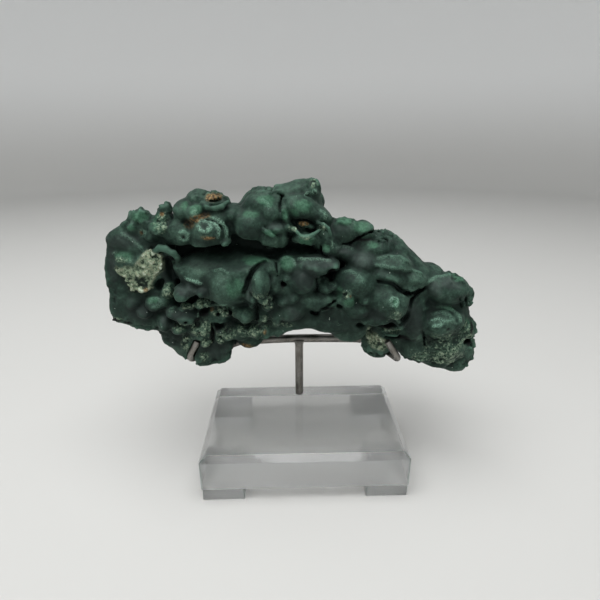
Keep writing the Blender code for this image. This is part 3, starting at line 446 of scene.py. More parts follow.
# Free crests: name, radius, blend, places and depths along the ridge.
CRESTS = [
    ("lip", 2.1, 1.0, [(154, 254, -1), (160, 249, -3), (167, 249.5, -5), (173, 253, -5),
                       (178.5, 259, -3), (180, 264, 1)]),
    ("donut_lip", 1.3, 1.4, [(202, 203.5, 0), (207, 207, -3), (214, 208, -4), (222, 206.5, -3),
                             (228, 202, 1)]),
    ("knob_crest", 1.1, 1.6, [(262, 229, -7), (267, 232, -10), (273, 236, -10.5),
                              (279, 239.5, -8)]),
    ("cavity_rim_left", 1.1, 1.0, [(289, 225.5, -4), (294, 229, -7), (298, 233, -9),
                                   (301, 236.5, -10)]),
    ("cavity_rim_low", 1.2, 1.0, [(301, 236.5, -10), (307, 237, -11), (313, 235, -11),
                                  (318.5, 230.5, -9)]),
    ("cavity_rim_right", 1.2, 1.0, [(317, 222, -5), (323, 224.5, -7), (328.5, 229, -8),
                                    (331, 235, -7)]),
]

# Curls and rims that lie on the surface: name, radius, blend, places along the line.
CURLS = [
    ("swell_crest", 1.0, 1.6, [(122, 234), (134, 241), (143, 250)]),
    ("scroll_plate", 1.0, 0.5, [(186, 279), (193, 280.5), (201, 283.5)]),
    ("rim_plate", 1.0, 0.5, [(211, 306.5), (218, 304.5), (226, 305), (233, 307.5)]),
    ("knuckle_plate", 0.9, 0.5, [(171, 308), (177, 307), (183, 310)]),
    ("knob_outer_rim", 1.0, 0.6, [(203, 218), (210, 216.5), (217, 218.5), (223, 223), (227, 230),
                                  (227, 236)]),
    ("knob_inner_rim", 1.0, 0.7, [(210, 221.5), (216, 224), (219.5, 230), (218.5, 237)]),
    ("knob_bowl_rim", 1.0, 0.7, [(199, 222), (204, 219.5), (210, 222.5), (211.5, 228), (207, 232),
                                 (201, 231), (198.5, 226)]),
    ("small_knob_rim", 0.9, 0.7, [(180, 233), (184, 231), (188, 234), (188, 239), (184, 241),
                                  (180, 238.5)]),
    ("dome_feather", 0.8, 0.6, [(263, 200), (268, 203), (270, 208)]),
    ("crest_chip", 0.9, 0.5, [(306, 195.5), (310, 193), (314, 190)]),
    ("fin_edge", 0.8, 0.4, [(321, 210), (326, 215), (330, 220)]),
    ("tip_crest", 1.1, 0.8, [(299, 259), (306, 259.5), (318, 259.5), (330, 261)]),
    ("small_crest_arc", 1.0, 0.6, [(319, 280), (323.5, 278), (328.5, 280)]),
    ("mid_arc", 0.8, 1.4, [(343, 272), (350, 271), (358, 275), (364, 282)]),
    ("slope_arc", 0.8, 1.4, [(378, 258.5), (388, 256.5), (400, 258), (408, 263)]),
    ("ridge_arc", 0.8, 1.4, [(376, 265), (385, 266), (392, 268), (402, 269), (412, 270.5),
                             (421, 275)]),
    ("arc_outer", 1.1, 0.8, [(424, 309), (432, 306.5), (442, 306.5), (452, 309.5), (459, 315),
                             (461, 321)]),
    ("arc_inner", 1.0, 0.8, [(432, 313), (441, 312), (449, 315), (454, 320)]),
    ("arc_low", 0.9, 0.6, [(444, 322), (451, 321), (457, 324)]),
    ("low_ring", 0.9, 0.7, [(432, 321), (438, 318.5), (443.5, 321.5), (441, 325.5), (434, 326)]),
    ("ledge_crust", 1.2, 0.6, [(383, 331), (390, 330.5), (396, 329), (401, 328.5)]),
    ("edge_fold", 1.1, 0.8, [(428, 283), (436, 277), (446, 276)]),
    ("dome_ring", 0.9, 0.7, [(391, 301), (393, 297.5), (397, 298.5), (398.5, 302), (396.5, 306),
                             (392.5, 305.5)]),
    ("dome_chain", 0.9, 0.6, [(396, 307), (398, 312), (394, 317), (399, 322)]),
    ("pit_rim", 0.8, 0.6, [(344, 294), (346.5, 290.5), (350.5, 291.5), (351.5, 295), (348, 298)]),
    ("side_ring_rim", 0.6, 0.5, [(330.5, 284), (333.5, 281.5), (336.5, 284), (333.5, 286.5)]),
    ("eye_rim", 0.9, 0.7, [(150, 303), (152.5, 298.5), (158, 298), (161.5, 301.5), (159, 306.5),
                           (153, 307)]),
    ("plate_ring", 0.7, 0.6, [(139.5, 233), (142, 230), (145.5, 232), (144.5, 236), (141, 236)]),
    ("crust_ring_a", 0.8, 0.5, [(154, 231), (157, 228.5), (160, 231), (157.5, 234), (154.5, 233)]),
    ("crust_ring_b", 0.8, 0.5, [(160, 224), (163, 221.5), (166, 224), (163.5, 227), (160.5, 226)]),
    ("green_arc", 0.8, 0.8, [(282, 259), (288, 256.5), (294, 260), (295.5, 266)]),
    ("bulge_arc", 0.9, 1.5, [(214, 270), (222, 269), (228, 273)]),
    ("brow_arc", 0.8, 1.0, [(337, 248), (345, 246.5), (353, 249)]),
]

# Creases cut along the surface: name, half width, depth, blend, places along the line.
CREASES = [
    ("finger_crease", 1.5, 4, 1.2, [(266, 262.5), (258, 265.5), (252, 271), (248.5, 277),
                                    (246.5, 285), (243.5, 293)]),
    ("middle_slit", 1.3, 7, 0.6, [(312.5, 312), (318, 313), (322, 309.5), (330, 305.5),
                                  (336.5, 301)]),
    ("upper_cleft", 1.2, 7, 0.6, [(345, 244), (352, 242.5), (358, 238), (365, 235), (373, 231.5)]),
    ("pocket_crease", 0.7, 2, 1.0, [(380, 240.5), (385, 240), (389, 241)]),
    ("deep_fold", 1.0, 4, 1.6, [(378, 280), (390, 282.5), (398, 288), (405, 292), (413, 294)]),
    ("long_crease", 1.0, 4.5, 1.6, [(424, 288), (417, 294), (412, 301), (409.5, 309), (407, 316),
                                  (403, 323)]),
    ("knob_whorl", 0.6, 2, 0.5, [(208, 219.5), (215, 221.5), (221.5, 227), (223.5, 233),
                                 (222, 239)]),
    ("bead_crease", 0.8, 4, 0.5, [(320.5, 246), (321.5, 252), (324, 256)]),
    ("edge_gap", 0.7, 4, 0.5, [(460, 298), (460.5, 303), (462.5, 308)]),
    ("edge_gap_right", 0.6, 4, 0.5, [(465.5, 293), (465.5, 300), (467.5, 306)]),
    ("groove_mid", 1.1, 4, 0.8, [(257, 301), (257.5, 310), (258, 319)]),
    ("left_groove", 1.1, 5, 0.8, [(212.5, 324), (214, 333), (212.5, 342)]),
    ("dome_crack", 0.7, 4, 0.5, [(270.5, 190), (277, 194), (285, 198)]),
    ("dome_crack_side", 0.8, 4, 0.5, [(282, 199), (280.5, 206), (281, 212)]),
    ("round_groove", 0.8, 4, 0.6, [(316.5, 277), (317, 284), (317.5, 291)]),
    ("wall_crease", 1.0, 5, 0.7, [(423, 331), (424.5, 339), (426, 346)]),
    ("fold_gap", 0.8, 4, 0.4, [(276.5, 263), (276.8, 269), (277.5, 276)]),
]

# Hollows: name, place, depth, half width, depth and height, roll, blend.
HOLLOWS = [
    ("recess", (222, 249), -4, (34, 13, 2.4), 2, 2.5),
    ("recess_left", (180, 250), 2, (9, 8, 2.4), -14, 2),
    ("recess_right", (300, 249), -3, (10, 12, 3.6), 8, 2),
    ("recess_notch", (251, 243), -4, (7, 11, 2.6), 0, 1.8),
    ("void_left", (170, 271), 1, (2.8, 7, 8.5), 4, 1.6),
    ("void_low", (161, 285), 2, (3, 7, 4.6), -25, 1.2),
    ("cavity", (306, 225), -6, (7.4, 11, 3.4), -14, 0.8),
    ("cavity_deep", (311, 230), -4, (3.4, 9, 2.5), 0, 0.8),
    ("ring_bowl", (204.5, 226), -14, (4, 5, 3.6), 0, 0.8),
    ("small_ring_bowl", (184, 236.5), -8.5, (2.4, 2.6, 2.3), 0, 0.8),
    ("donut_bowl", (216, 200), 1, (5, 3, 1.2), 0, 0.8),
    ("eye_bowl", (155.5, 302.5), -8, (2.8, 3, 2.2), 0, 0.8),
    ("tip_hollow", (333, 272), -12, (4, 8, 2.6), 0, 0.8),
    ("tongue_pit", (283.5, 284.5), -9, (2, 8, 2.2), 0, 0.7),
    ("vug_dark", (205, 312), -5, (4, 9, 3), 0, 0.8),
    ("vug_dark_left", (195, 301), -7, (1.8, 7, 2), 0, 0.8),
    ("rim_hole", (230, 313.5), -5, (1.8, 7, 1.5), 0, 0.6),
    ("rim_hole_b", (218.5, 314.5), -5, (1.4, 7, 1.2), 0, 0.6),
    ("rim_hole_c", (224, 311), -5, (1.2, 6, 1), 0, 0.5),
    ("pale_hole", (175.5, 326), -11, (1.2, 6, 1.2), 0, 0.5),
    ("pale_hole_b", (186, 322), -10, (1.4, 6, 1.2), 0, 0.5),
    ("khaki_hole", (226, 331), -7, (1.3, 6, 1.2), 0, 0.5),
    ("hollow_dark", (219, 326), -3, (4.2, 7, 3), 0, 1.6),
    ("end_dark", (341, 306), -10, (2.4, 7, 1.8), 0, 1),
    ("nub_under", (361, 326), -6, (3.4, 7, 2), 0, 1),
    ("dark_pocket", (386, 324.5), -6, (8, 10, 2.6), -8, 1),
    ("dark_pocket_low", (395, 337.5), -3, (6, 8, 2.2), -4, 1.6),
    ("vug_groove", (402, 318), -10, (1.8, 7, 6), -12, 1),
    ("under_dome", (413, 292.5), -7, (6, 9, 1.8), 14, 1),
    ("right_vug", (466, 340.5), 1, (4, 9, 2.2), 4, 0.8),
    ("right_notch", (471, 309), 8, (2.8, 12, 1.4), -30, 0.8),
    ("left_notch", (109.5, 292), 7, (2.6, 12, 0.8), 0, 0.4),
    ("peak_notch", (154.5, 212), 8, (2.2, 12, 3.4), 0, 0.6),
    ("stem_notch", (173, 214), 6, (1.3, 30, 1.6), 0, 0.5),
    ("shelf_pit", (254, 252), -4, (1.8, 8, 0.8), 0, 0.6),
    ("finger_under", (269.5, 289), -14, (1.2, 5, 2.4), 10, 1.2),
]
# Lobes that stand in the hollows.
INNER_LOBES = [
    ("finger", (260, 283.5), -12, (6.4, 12, 10.4), 0, 0.8),
    ("cavity_block", (305, 223.5), 1, (4.4, 5, 2.6), -14, 0.5),
    ("cavity_block_right", (311, 226), 1, (2.6, 5, 2), -30, 0.5),
    ("bowl_curl", (208, 228), -10, (1.6, 4, 1.6), 0, 0.6),
]
REAR_HOLLOWS = [
    ("rear_dent_left", (-52, 49, 134), (17, 9, 6), 30, 2.5),
    ("rear_dent_high", (-62, 48, 163), (6, 9, 12), -25, 2.5),
    ("rear_dent_middle", (9, 49, 150), (6, 9, 18), -20, 2.5),
    ("rear_dent_right", (72, 47, 120), (6, 9, 15), 35, 2.5),
]

# Places that differ from the plain lobes: name, place, half width and height.
SPOTS = {
    "bright": [
        ("peak", (140, 217), (4.6, 3.2)), ("bead", (131, 228), (2.6, 2)),
        ("crust", (160, 222), (4.6, 6)), ("patch_heads", (124, 257), (6, 3.2)),
        ("eye", (153, 300), (3, 2)), ("tuft", (170, 286), (2.6, 2.6)),
        ("left_end", (185, 206), (2.3, 3)), ("crystal_knob", (196, 209), (3.8, 3.2)),
        ("hood", (256, 261), (9.4, 2)), ("bulge_right", (236, 288), (6, 7)),
        ("green_lobe", (287, 262), (4.6, 4.6)), ("ridge", (270, 234), (5.2, 2)),
        ("cheek", (286, 215), (2.6, 3.8)), ("wedge", (303, 206), (5.8, 3.8)),
        ("wedge_left", (295, 213), (3.2, 2.6)), ("drips", (306, 241), (5.2, 3.2)),
        ("low_bead", (326, 248), (2.6, 2.6)), ("dark_top", (345, 220), (5.2, 2.6)),
        ("light_lobe", (361, 227), (5.2, 3.2)), ("dome_edge", (340, 292), (2, 4)),
        ("broad_ring", (396, 303), (2.4, 3.4)), ("right_cap", (457, 278), (3.4, 1.8)),
        ("arcs", (447, 308), (7, 1.6)), ("end", (466, 326), (5.4, 5.4)),
        ("high_dome", (266, 200), (5.8, 2.6)), ("feather", (268, 204), (3.2, 2)),
        ("big_dome", (252, 214), (5.2, 2)), ("column", (352, 303), (5.4, 3.4)),
        ("slope_patch", (373, 245), (3.4, 2)),
    ],
    "pale": [
        ("scroll_plate", (193, 280.5), (5.2, 1)), ("head_a", (114.5, 252.5), (2.2, 1)),
        ("head_b", (121, 256), (2, 1.8)), ("head_e", (132, 262), (2, 2.2)),
        ("end_edge", (317, 187), (1, 4.2)),
        ("end_chip", (310, 193), (3.6, 1.2)), ("fin_line", (326, 215), (1, 3.8)),
        ("rim_left", (295, 230), (2.6, 1)), ("rim_low", (307, 237), (3.4, 0.9)),
        ("rim_right", (324, 225), (1.4, 1.6)), ("drape_line", (333, 240), (1.2, 6.2)),
        ("tip_left", (302, 259), (2, 1.2)), ("tip_top", (316, 259.5), (9, 1.1)),
        ("small_arc", (323.5, 278.5), (3.4, 1)), ("fringe", (268, 299), (3.2, 1.6)),
        ("fringe_low", (265, 322), (2.6, 2.6)), ("rim_plate", (222, 305), (6.6, 0.9)),
        ("rim_side", (231, 317), (2, 1)), ("vug_beads", (203, 300), (4, 2.6)),
        ("pale_knuckle", (181, 325), (4.6, 3.2)), ("crystals", (200, 326), (6, 4)),
        ("crystals_low", (207, 340), (3.6, 3)), ("thread", (199, 315), (1, 3.4)),
        ("knuckle_edge", (177, 308), (4, 0.9)), ("curl", (186, 303), (2.6, 1.3)),
        ("ledge", (392, 330), (6, 1.3)), ("ledge_high", (396, 317), (3.4, 2.6)),
        ("nub", (364, 320), (2.7, 1.4)), ("crescent", (341, 323.5), (2.3, 0.8)),
        ("right_curl", (461, 318), (1.4, 2.7)),
        ("end_pale", (470, 333), (2.6, 2)), ("knob_rim", (220, 221), (5.8, 2.4)),
        ("crystal_arc", (195, 214), (2, 2.4)), ("ring_curl", (208, 228), (1.2, 1.2)),
        ("tuft", (172, 287), (3.2, 2.2)), ("tail", (186, 343), (2, 3.4)),
        ("khaki", (229, 333), (3.4, 2.6)), ("wall_spot", (410, 350), (2, 1.4)),
        # The glint spots are painted highlights; the other pale spots are pale crystals, rims and
        # crusts.
        ("wall_pale", (408, 326), (1.7, 1.7)), ("glint_plate", (118, 237), (0.9, 0.8)),
        ("glint_bulge", (206.5, 278.5), (1.2, 0.9)), ("glint_low", (220, 285), (0.9, 0.8)),
        ("glint_dome", (382, 312), (0.8, 0.8)), ("glint_lump", (205, 356), (1.4, 1.4)),
    ],
    "crystal": [
        ("crust", (162, 222), (4, 6)),
        ("tuft", (169, 292), (4.6, 6)), ("vug", (203, 302), (5.4, 4.6)),
        ("curls", (189, 305), (4.6, 2.6)), ("rim", (222, 311), (8, 4)),
        ("pale_knuckle", (181, 325), (6, 4)), ("crystals", (201, 329), (8, 6)),
        ("crystals_low", (207, 341), (4.8, 4)), ("crystals_left", (187, 337), (3.4, 4)),
        ("tail", (185, 345), (2.8, 4.8)), ("khaki", (229, 333), (5.6, 4.8)),
        ("khaki_left", (221, 338), (3.4, 4)), ("apron", (252, 328), (9.6, 5.4)),
        ("column", (267, 322), (4.8, 5.4)), ("fringe", (268, 302), (4.6, 4)),
        ("finger_foot", (259, 297), (6, 2.6)),
        ("rim_left", (293, 229), (3, 1.6)), ("rim_low", (307, 239), (4, 1.4)),
        ("rim_right", (323, 228), (2, 2.4)), ("end_face", (314, 184), (2, 3)),
        ("vug_right", (396, 318), (4.8, 5.4)), ("ledge", (392, 330), (6.8, 2)),
        ("corner", (446, 345), (13, 12)), ("corner_low", (447, 359), (13, 6)),
        ("end", (466, 333), (6, 8)), ("low_edge", (425, 356), (9.8, 4)),
        ("patch_heads", (122, 260), (4, 2.4)),
        ("plate_edge", (117, 319), (5.4, 2)), ("low_lump", (205, 356), (4, 3.4)),
        ("pit", (347, 294), (2.6, 2.6)), ("low_row", (285, 324), (7, 2)),
    ],
    "ragged": [
        ("plate_top", (131, 218), (10, 7)), ("plate_notch", (152, 216), (6, 4)),
        ("crust_top", (165, 208), (5, 5)), ("plate_foot", (120, 319), (10, 3)),
        ("plate_foot_right", (145, 328), (13, 3)), ("left_edge", (113, 292), (3, 8)),
        ("slope_edge", (168, 341), (8, 5)), ("low_edge", (205, 362), (16, 4)),
        ("low_corner", (230, 352), (6, 6)), ("fringe", (243, 348), (10, 3)),
        ("arch_left", (265, 338), (10, 3)), ("arch_right", (350, 342), (12, 3)),
        ("patch_edge", (372, 352), (10, 4)), ("right_low", (425, 361), (20, 4)),
        ("right_tip", (457, 365), (10, 5)), ("right_edge", (472, 340), (4, 16)),
        ("right_edge_high", (470, 298), (4, 9)), ("far_edge", (455, 276), (10, 4)),
        ("slope_edge_high", (390, 236), (12, 5)), ("dark_edge", (345, 220), (7, 3)),
        ("end_face", (314, 186), (6, 6)), ("fin", (330, 212), (5, 6)),
        ("high_edge", (262, 190), (12, 3)), ("row_edge", (212, 194), (12, 3)),
    ],
    # Darker places: partly the stone's darker tone, partly painted shade under lobes, in hollows and
    # below the upper row.
    "dark_tone_and_shade": [
        ("ring_bowl", (204, 226), (3.6, 3.2)), ("cavity_roof", (305, 218), (8, 2.4)),
        ("bulge_left", (206, 288), (6, 10)), ("shelf", (222, 262), (34, 4)),
        ("plate_swell", (118, 250), (9, 8)), ("apron_low", (215, 345), (16, 6)),
        ("plate_low", (136, 311), (17, 9)), ("mass", (303, 279), (8, 8)),
        ("belly", (290, 308), (10, 8)), ("low_lump", (210, 352), (15, 8)),
        ("dark_lobe", (343, 233), (8, 6)), ("wall", (415, 320), (8, 14)),
        ("low_right", (408, 346), (13, 8)), ("knuckles", (178, 316), (14, 9)),
        ("slope", (172, 337), (10, 10)), ("apron", (240, 330), (16, 8)),
        ("void", (168, 270), (6, 14)), ("low_slab", (320, 322), (28, 8)),
        ("striped", (376, 316), (9, 5)), ("dark_column", (352, 326), (10, 10)),
        ("knob_chin", (207, 243), (12, 3)), ("shelf_back", (215, 257), (30, 5)),
        ("big_dome_foot", (252, 233), (9, 4)), ("plate_left", (110, 262), (3, 14)),
        ("under_finger", (262, 306), (9, 6)), ("recess_right", (280, 250), (18, 6)),
        ("edge_right", (470, 318), (3, 12)), ("wall_left", (395, 322), (8, 6)),
    ],
    "rust": [
        ("knob_rust", (191, 224), (3.6, 3)), ("knob_rust_high", (195, 219), (3, 2)),
        ("knob_tan", (203, 216), (5.4, 1.6)), ("knob_bar", (209, 238), (4.6, 1)),
        ("donut", (214, 197.5), (5.4, 2.2)), ("donut_high", (219, 195.5), (2.2, 1.2)),
        ("cavity", (304, 224), (3.8, 1.5)), ("patch", (146, 290), (1.8, 1.4)),
        ("vug", (212, 309), (1.6, 1.4)), ("fringe", (237, 347), (5, 2.2)),
        ("fringe_right", (247, 346), (4, 1.8)), ("ring_yellow", (142, 232.5), (1.6, 1.5)),
        ("pink", (351, 296), (1, 1.1)), ("column", (265, 332), (1.2, 1.4)),
        ("crust", (162, 214), (1.4, 1.4)),
    ],
    # Painted shade: black where holes, hollows and gaps lie in shadow.
    "shaded_holes": [
        ("cavity", (313, 230), (2.4, 1.9)), ("plate_edge", (118, 320), (4.6, 1.2)),
        ("plate_edge_right", (128, 323), (4, 1)), ("vug", (204.5, 312), (3.2, 2.6)),
        ("rim_hole", (230, 313.5), (1.7, 1.3)), ("rim_hole_b", (218.5, 314.5), (1.3, 1.1)),
        ("groove", (213.5, 333), (2, 6)), ("pit", (283, 284.5), (1.7, 1.8)),
        ("tip", (333, 271), (3.2, 2)), ("slit", (326, 307.5), (6, 1.2)),
        ("cleft", (358, 238.5), (8.6, 1.1)), ("pocket_high", (385, 240.5), (2.6, 1.2)),
        ("right_vug", (466, 340), (4, 2)), ("edge", (472, 328), (1.4, 4.6)),
        ("pocket", (386, 324.5), (6.4, 2.2)), ("pocket_low", (403, 337), (8.8, 2)),
        ("patch_edge", (388, 354), (4, 1.6)), ("patch_hole", (378, 339.5), (1, 0.8)),
        ("hole_a", (175.5, 326), (0.9, 0.9)), ("hole_b", (186, 322), (1.1, 0.9)),
        ("hole_c", (200, 332), (1.1, 0.8)), ("hole_d", (193, 334), (0.9, 0.8)),
        ("ring_dark", (184, 237), (1.2, 1.2)), ("arc_hole", (449, 329), (1.4, 1)),
        ("lip_under", (170, 258), (4, 1.6)), ("knuckle_gap", (197, 320), (2, 2)),
        ("hollow", (219, 326), (2.6, 1.8)),
    ],
    "grey": [
        ("finger_side", (249, 288), (2.6, 8)),
        ("level_finger", (318, 263), (13.4, 5.4)), ("mass", (306, 278), (8, 8)),
        ("knuckles", (185, 315), (9, 4)), ("knuckle_left", (167, 318), (5.4, 7)),
        ("scrolls", (190, 290), (10, 5.4)), ("scroll_right", (203, 290), (4.6, 4.6)),
        ("swell", (122, 241), (12, 4.6)), ("plate", (112, 262), (3.4, 13)),
        ("lip", (170, 251), (6, 2)), ("grey_dome", (363, 261), (10, 6)),
        ("brow", (345, 249), (7.8, 3.2)), ("wall", (414, 320), (6.8, 14)),
        ("dome_side", (452, 283), (8, 4)), ("striped", (376, 314), (6.8, 4.6)),
        ("low_lump", (212, 350), (11, 7)), ("grey_top", (277, 226), (5.8, 2.6)),
        ("low_mass", (296, 318), (5.4, 6.8)), ("right_under", (435, 290), (5.4, 5.4)),
        ("void", (168, 268), (3.4, 9.4)), ("plate_low", (140, 312), (9.6, 6.8)),
        ("slope", (175, 337), (6.4, 8)), ("vug_dark", (222, 327), (6, 5.4)),
    ],
}


# ---------------------------------------------------------------- the picture and the stone

def camera_axes():
    """The camera's right, up and forward directions."""
    pitch, yaw, roll = radians(CAMERA_PITCH), radians(CAMERA_YAW), radians(CAMERA_ROLL)
    forward = Vector((-sin(yaw) * cos(pitch), cos(yaw) * cos(pitch), -sin(pitch)))
    right = Vector((cos(yaw), sin(yaw), 0.0))
    up = right.cross(forward)
    return right * cos(roll) + up * sin(roll), up * cos(roll) - right * sin(roll), forward


RIGHT, UP, FORWARD = (np.array(axis) for axis in camera_axes())


def along_sight(place, depth):
    """The point that the camera sees at a picture place, at a depth in millimetres."""
    across = (place[0] - PICTURE_MIDDLE[0]) / FOCAL
    down = (place[1] - PICTURE_MIDDLE[1]) / FOCAL
    way = FORWARD + RIGHT * across - UP * down
    reach = (depth - CAMERA_PLACE[1]) / way[1]
    return np.array(CAMERA_PLACE) + way * reach


def sight_line(place):
    """Points along a sight line, from before the stone to behind it."""
    front, rear = along_sight(place, STONE_LOW[1]), along_sight(place, STONE_HIGH[1])
    count = int(np.linalg.norm(rear - front) / SIGHT_STEP)
    return front + (rear - front) * np.linspace(0, 1, count)[:, None]


def seen_form(place, depth, sizes):
    """A form's middle and true radii from the width and the height that it shows."""
    wide, deep, high = sizes
    centre = along_sight(place, depth)
    away = centre - CAMERA_PLACE
    dip = np.arctan2(-away[2], np.hypot(away[0], away[1]))
    upright = max(high ** 2 - (deep * sin(dip)) ** 2, (LEAST_HEIGHT * high) ** 2)
    return centre, (wide, deep, sqrt(upright) / cos(dip))


def seen_outline(places, depth):
    """The outline in the XZ plane of a form that is given by picture places."""
    points = [along_sight(place, depth) for place in places]
    return [(x, z) for x, _y, z in points]


# ---------------------------------------------------------------- numbers on a lattice

LATTICE = 64                     # random lattices repeat after this many cells
OFFSET = 1000.0                  # keeps lattice indices positive


def noise(x, y, z, size, seed):
    """Smooth random values from -1 to 1 with features of about this size."""
    table = np.random.default_rng(seed).random((LATTICE,) * 3).astype(np.float32)
    cells, parts = [], []
    for c in (x, y, z):
        scaled = c / size + OFFSET
        cell = np.floor(scaled).astype(np.int32)
        part = (scaled - cell).astype(np.float32)
        cells.append((cell % LATTICE, (cell + 1) % LATTICE))
        parts.append(part * part * (3 - 2 * part))
    total = 0.0
    for i in (0, 1):
        for j in (0, 1):
            for k in (0, 1):
                weight = 1.0
                for part, side in zip(parts, (i, j, k)):
                    weight = weight * (part if side else 1 - part)
                total = total + weight * table[cells[0][i], cells[1][j], cells[2][k]]
    return total * 2 - 1


def layered(layers, x, y, z):
    """The sum of several layers of noise."""
    return sum(amount * noise(x, y, z, size, seed) for amount, size, seed in layers)


def cells(x, y, z, size, seed):
    """Distance to the nearest of scattered points: 0 at a point, about 0.9 far from any."""
    spots = np.random.default_rng(seed).random((3,) + (LATTICE,) * 3).astype(np.float32)
    scaled = [(c / size + OFFSET).astype(np.float32) for c in (x, y, z)]
    cell = [np.floor(c).astype(np.int32) for c in scaled]
    nearest = np.full(np.broadcast(*scaled).shape, 9.0, np.float32)
    for i in (-1, 0, 1):
        for j in (-1, 0, 1):
            for k in (-1, 0, 1):
                near = [c + step for c, step in zip(cell, (i, j, k))]
                index = tuple(c % LATTICE for c in near)
                gap = 0.0
                for axis in range(3):
                    gap = gap + (near[axis] + spots[axis][index] - scaled[axis]) ** 2
                nearest = np.minimum(nearest, gap)
    return np.sqrt(nearest)


def grainy(grains, layers, x, y, z):
    """Separate grains with noise between them."""
    amount, size, seed = grains
    return amount * (0.5 - cells(x, y, z, size, seed)) + layered(layers, x, y, z)


def ramp(value, low, high):
    """0 below low, 1 above high, smooth between."""
    t = np.clip((value - low) / (high - low), 0.0, 1.0)
    return t * t * (3 - 2 * t)


def blend_min(a, b, width):
    """The smaller of two distances, rounded where they are within width of each other."""
    near = np.maximum(width - np.abs(a - b), 0) / width
    return np.minimum(a, b) - near * near * width / 4


def ellipsoid(x, y, z, centre, radii, roll):
    """Distance to a stretched ball that is rolled in the XZ plane."""
    turn = radians(roll)
    dx, dy, dz = x - centre[0], y - centre[1], z - centre[2]
    u = cos(turn) * dx + sin(turn) * dz
    w = cos(turn) * dz - sin(turn) * dx
    reach = np.sqrt((u / radii[0]) ** 2 + (dy / radii[1]) ** 2 + (w / radii[2]) ** 2)
    slope = np.sqrt((u / radii[0] ** 2) ** 2 + (dy / radii[1] ** 2) ** 2
                    + (w / radii[2] ** 2) ** 2)
    return reach * (reach - 1) / (slope + 1e-6)


def polygon(x, z, outline):
    """Distance to an outline in the XZ plane, negative inside."""
    square = np.full(np.broadcast(x, z).shape, 1e9)
    side = np.ones(square.shape)
    for (ax, az), (bx, bz) in zip(outline, outline[-1:] + outline[:-1]):
        ex, ez = bx - ax, bz - az
        wx, wz = x - ax, z - az
        t = np.clip((wx * ex + wz * ez) / (ex * ex + ez * ez), 0, 1)
        square = np.minimum(square, (wx - ex * t) ** 2 + (wz - ez * t) ** 2)
        above, below, left = z >= az, z < bz, ex * wz > ez * wx
        flip = (above & below & left) | ~(above | below | left)
        side = np.where(flip, -side, side)
    return side * np.sqrt(square)


def segment(x, y, z, start, end):
    """Distance to a straight line between two points."""
    start, end = np.array(start, float), np.array(end, float)
    along = end - start
    dx, dy, dz = x - start[0], y - start[1], z - start[2]
    t = np.clip((dx * along[0] + dy * along[1] + dz * along[2]) / (along @ along), 0, 1)
    return np.sqrt((dx - t * along[0]) ** 2 + (dy - t * along[1]) ** 2
                   + (dz - t * along[2]) ** 2)


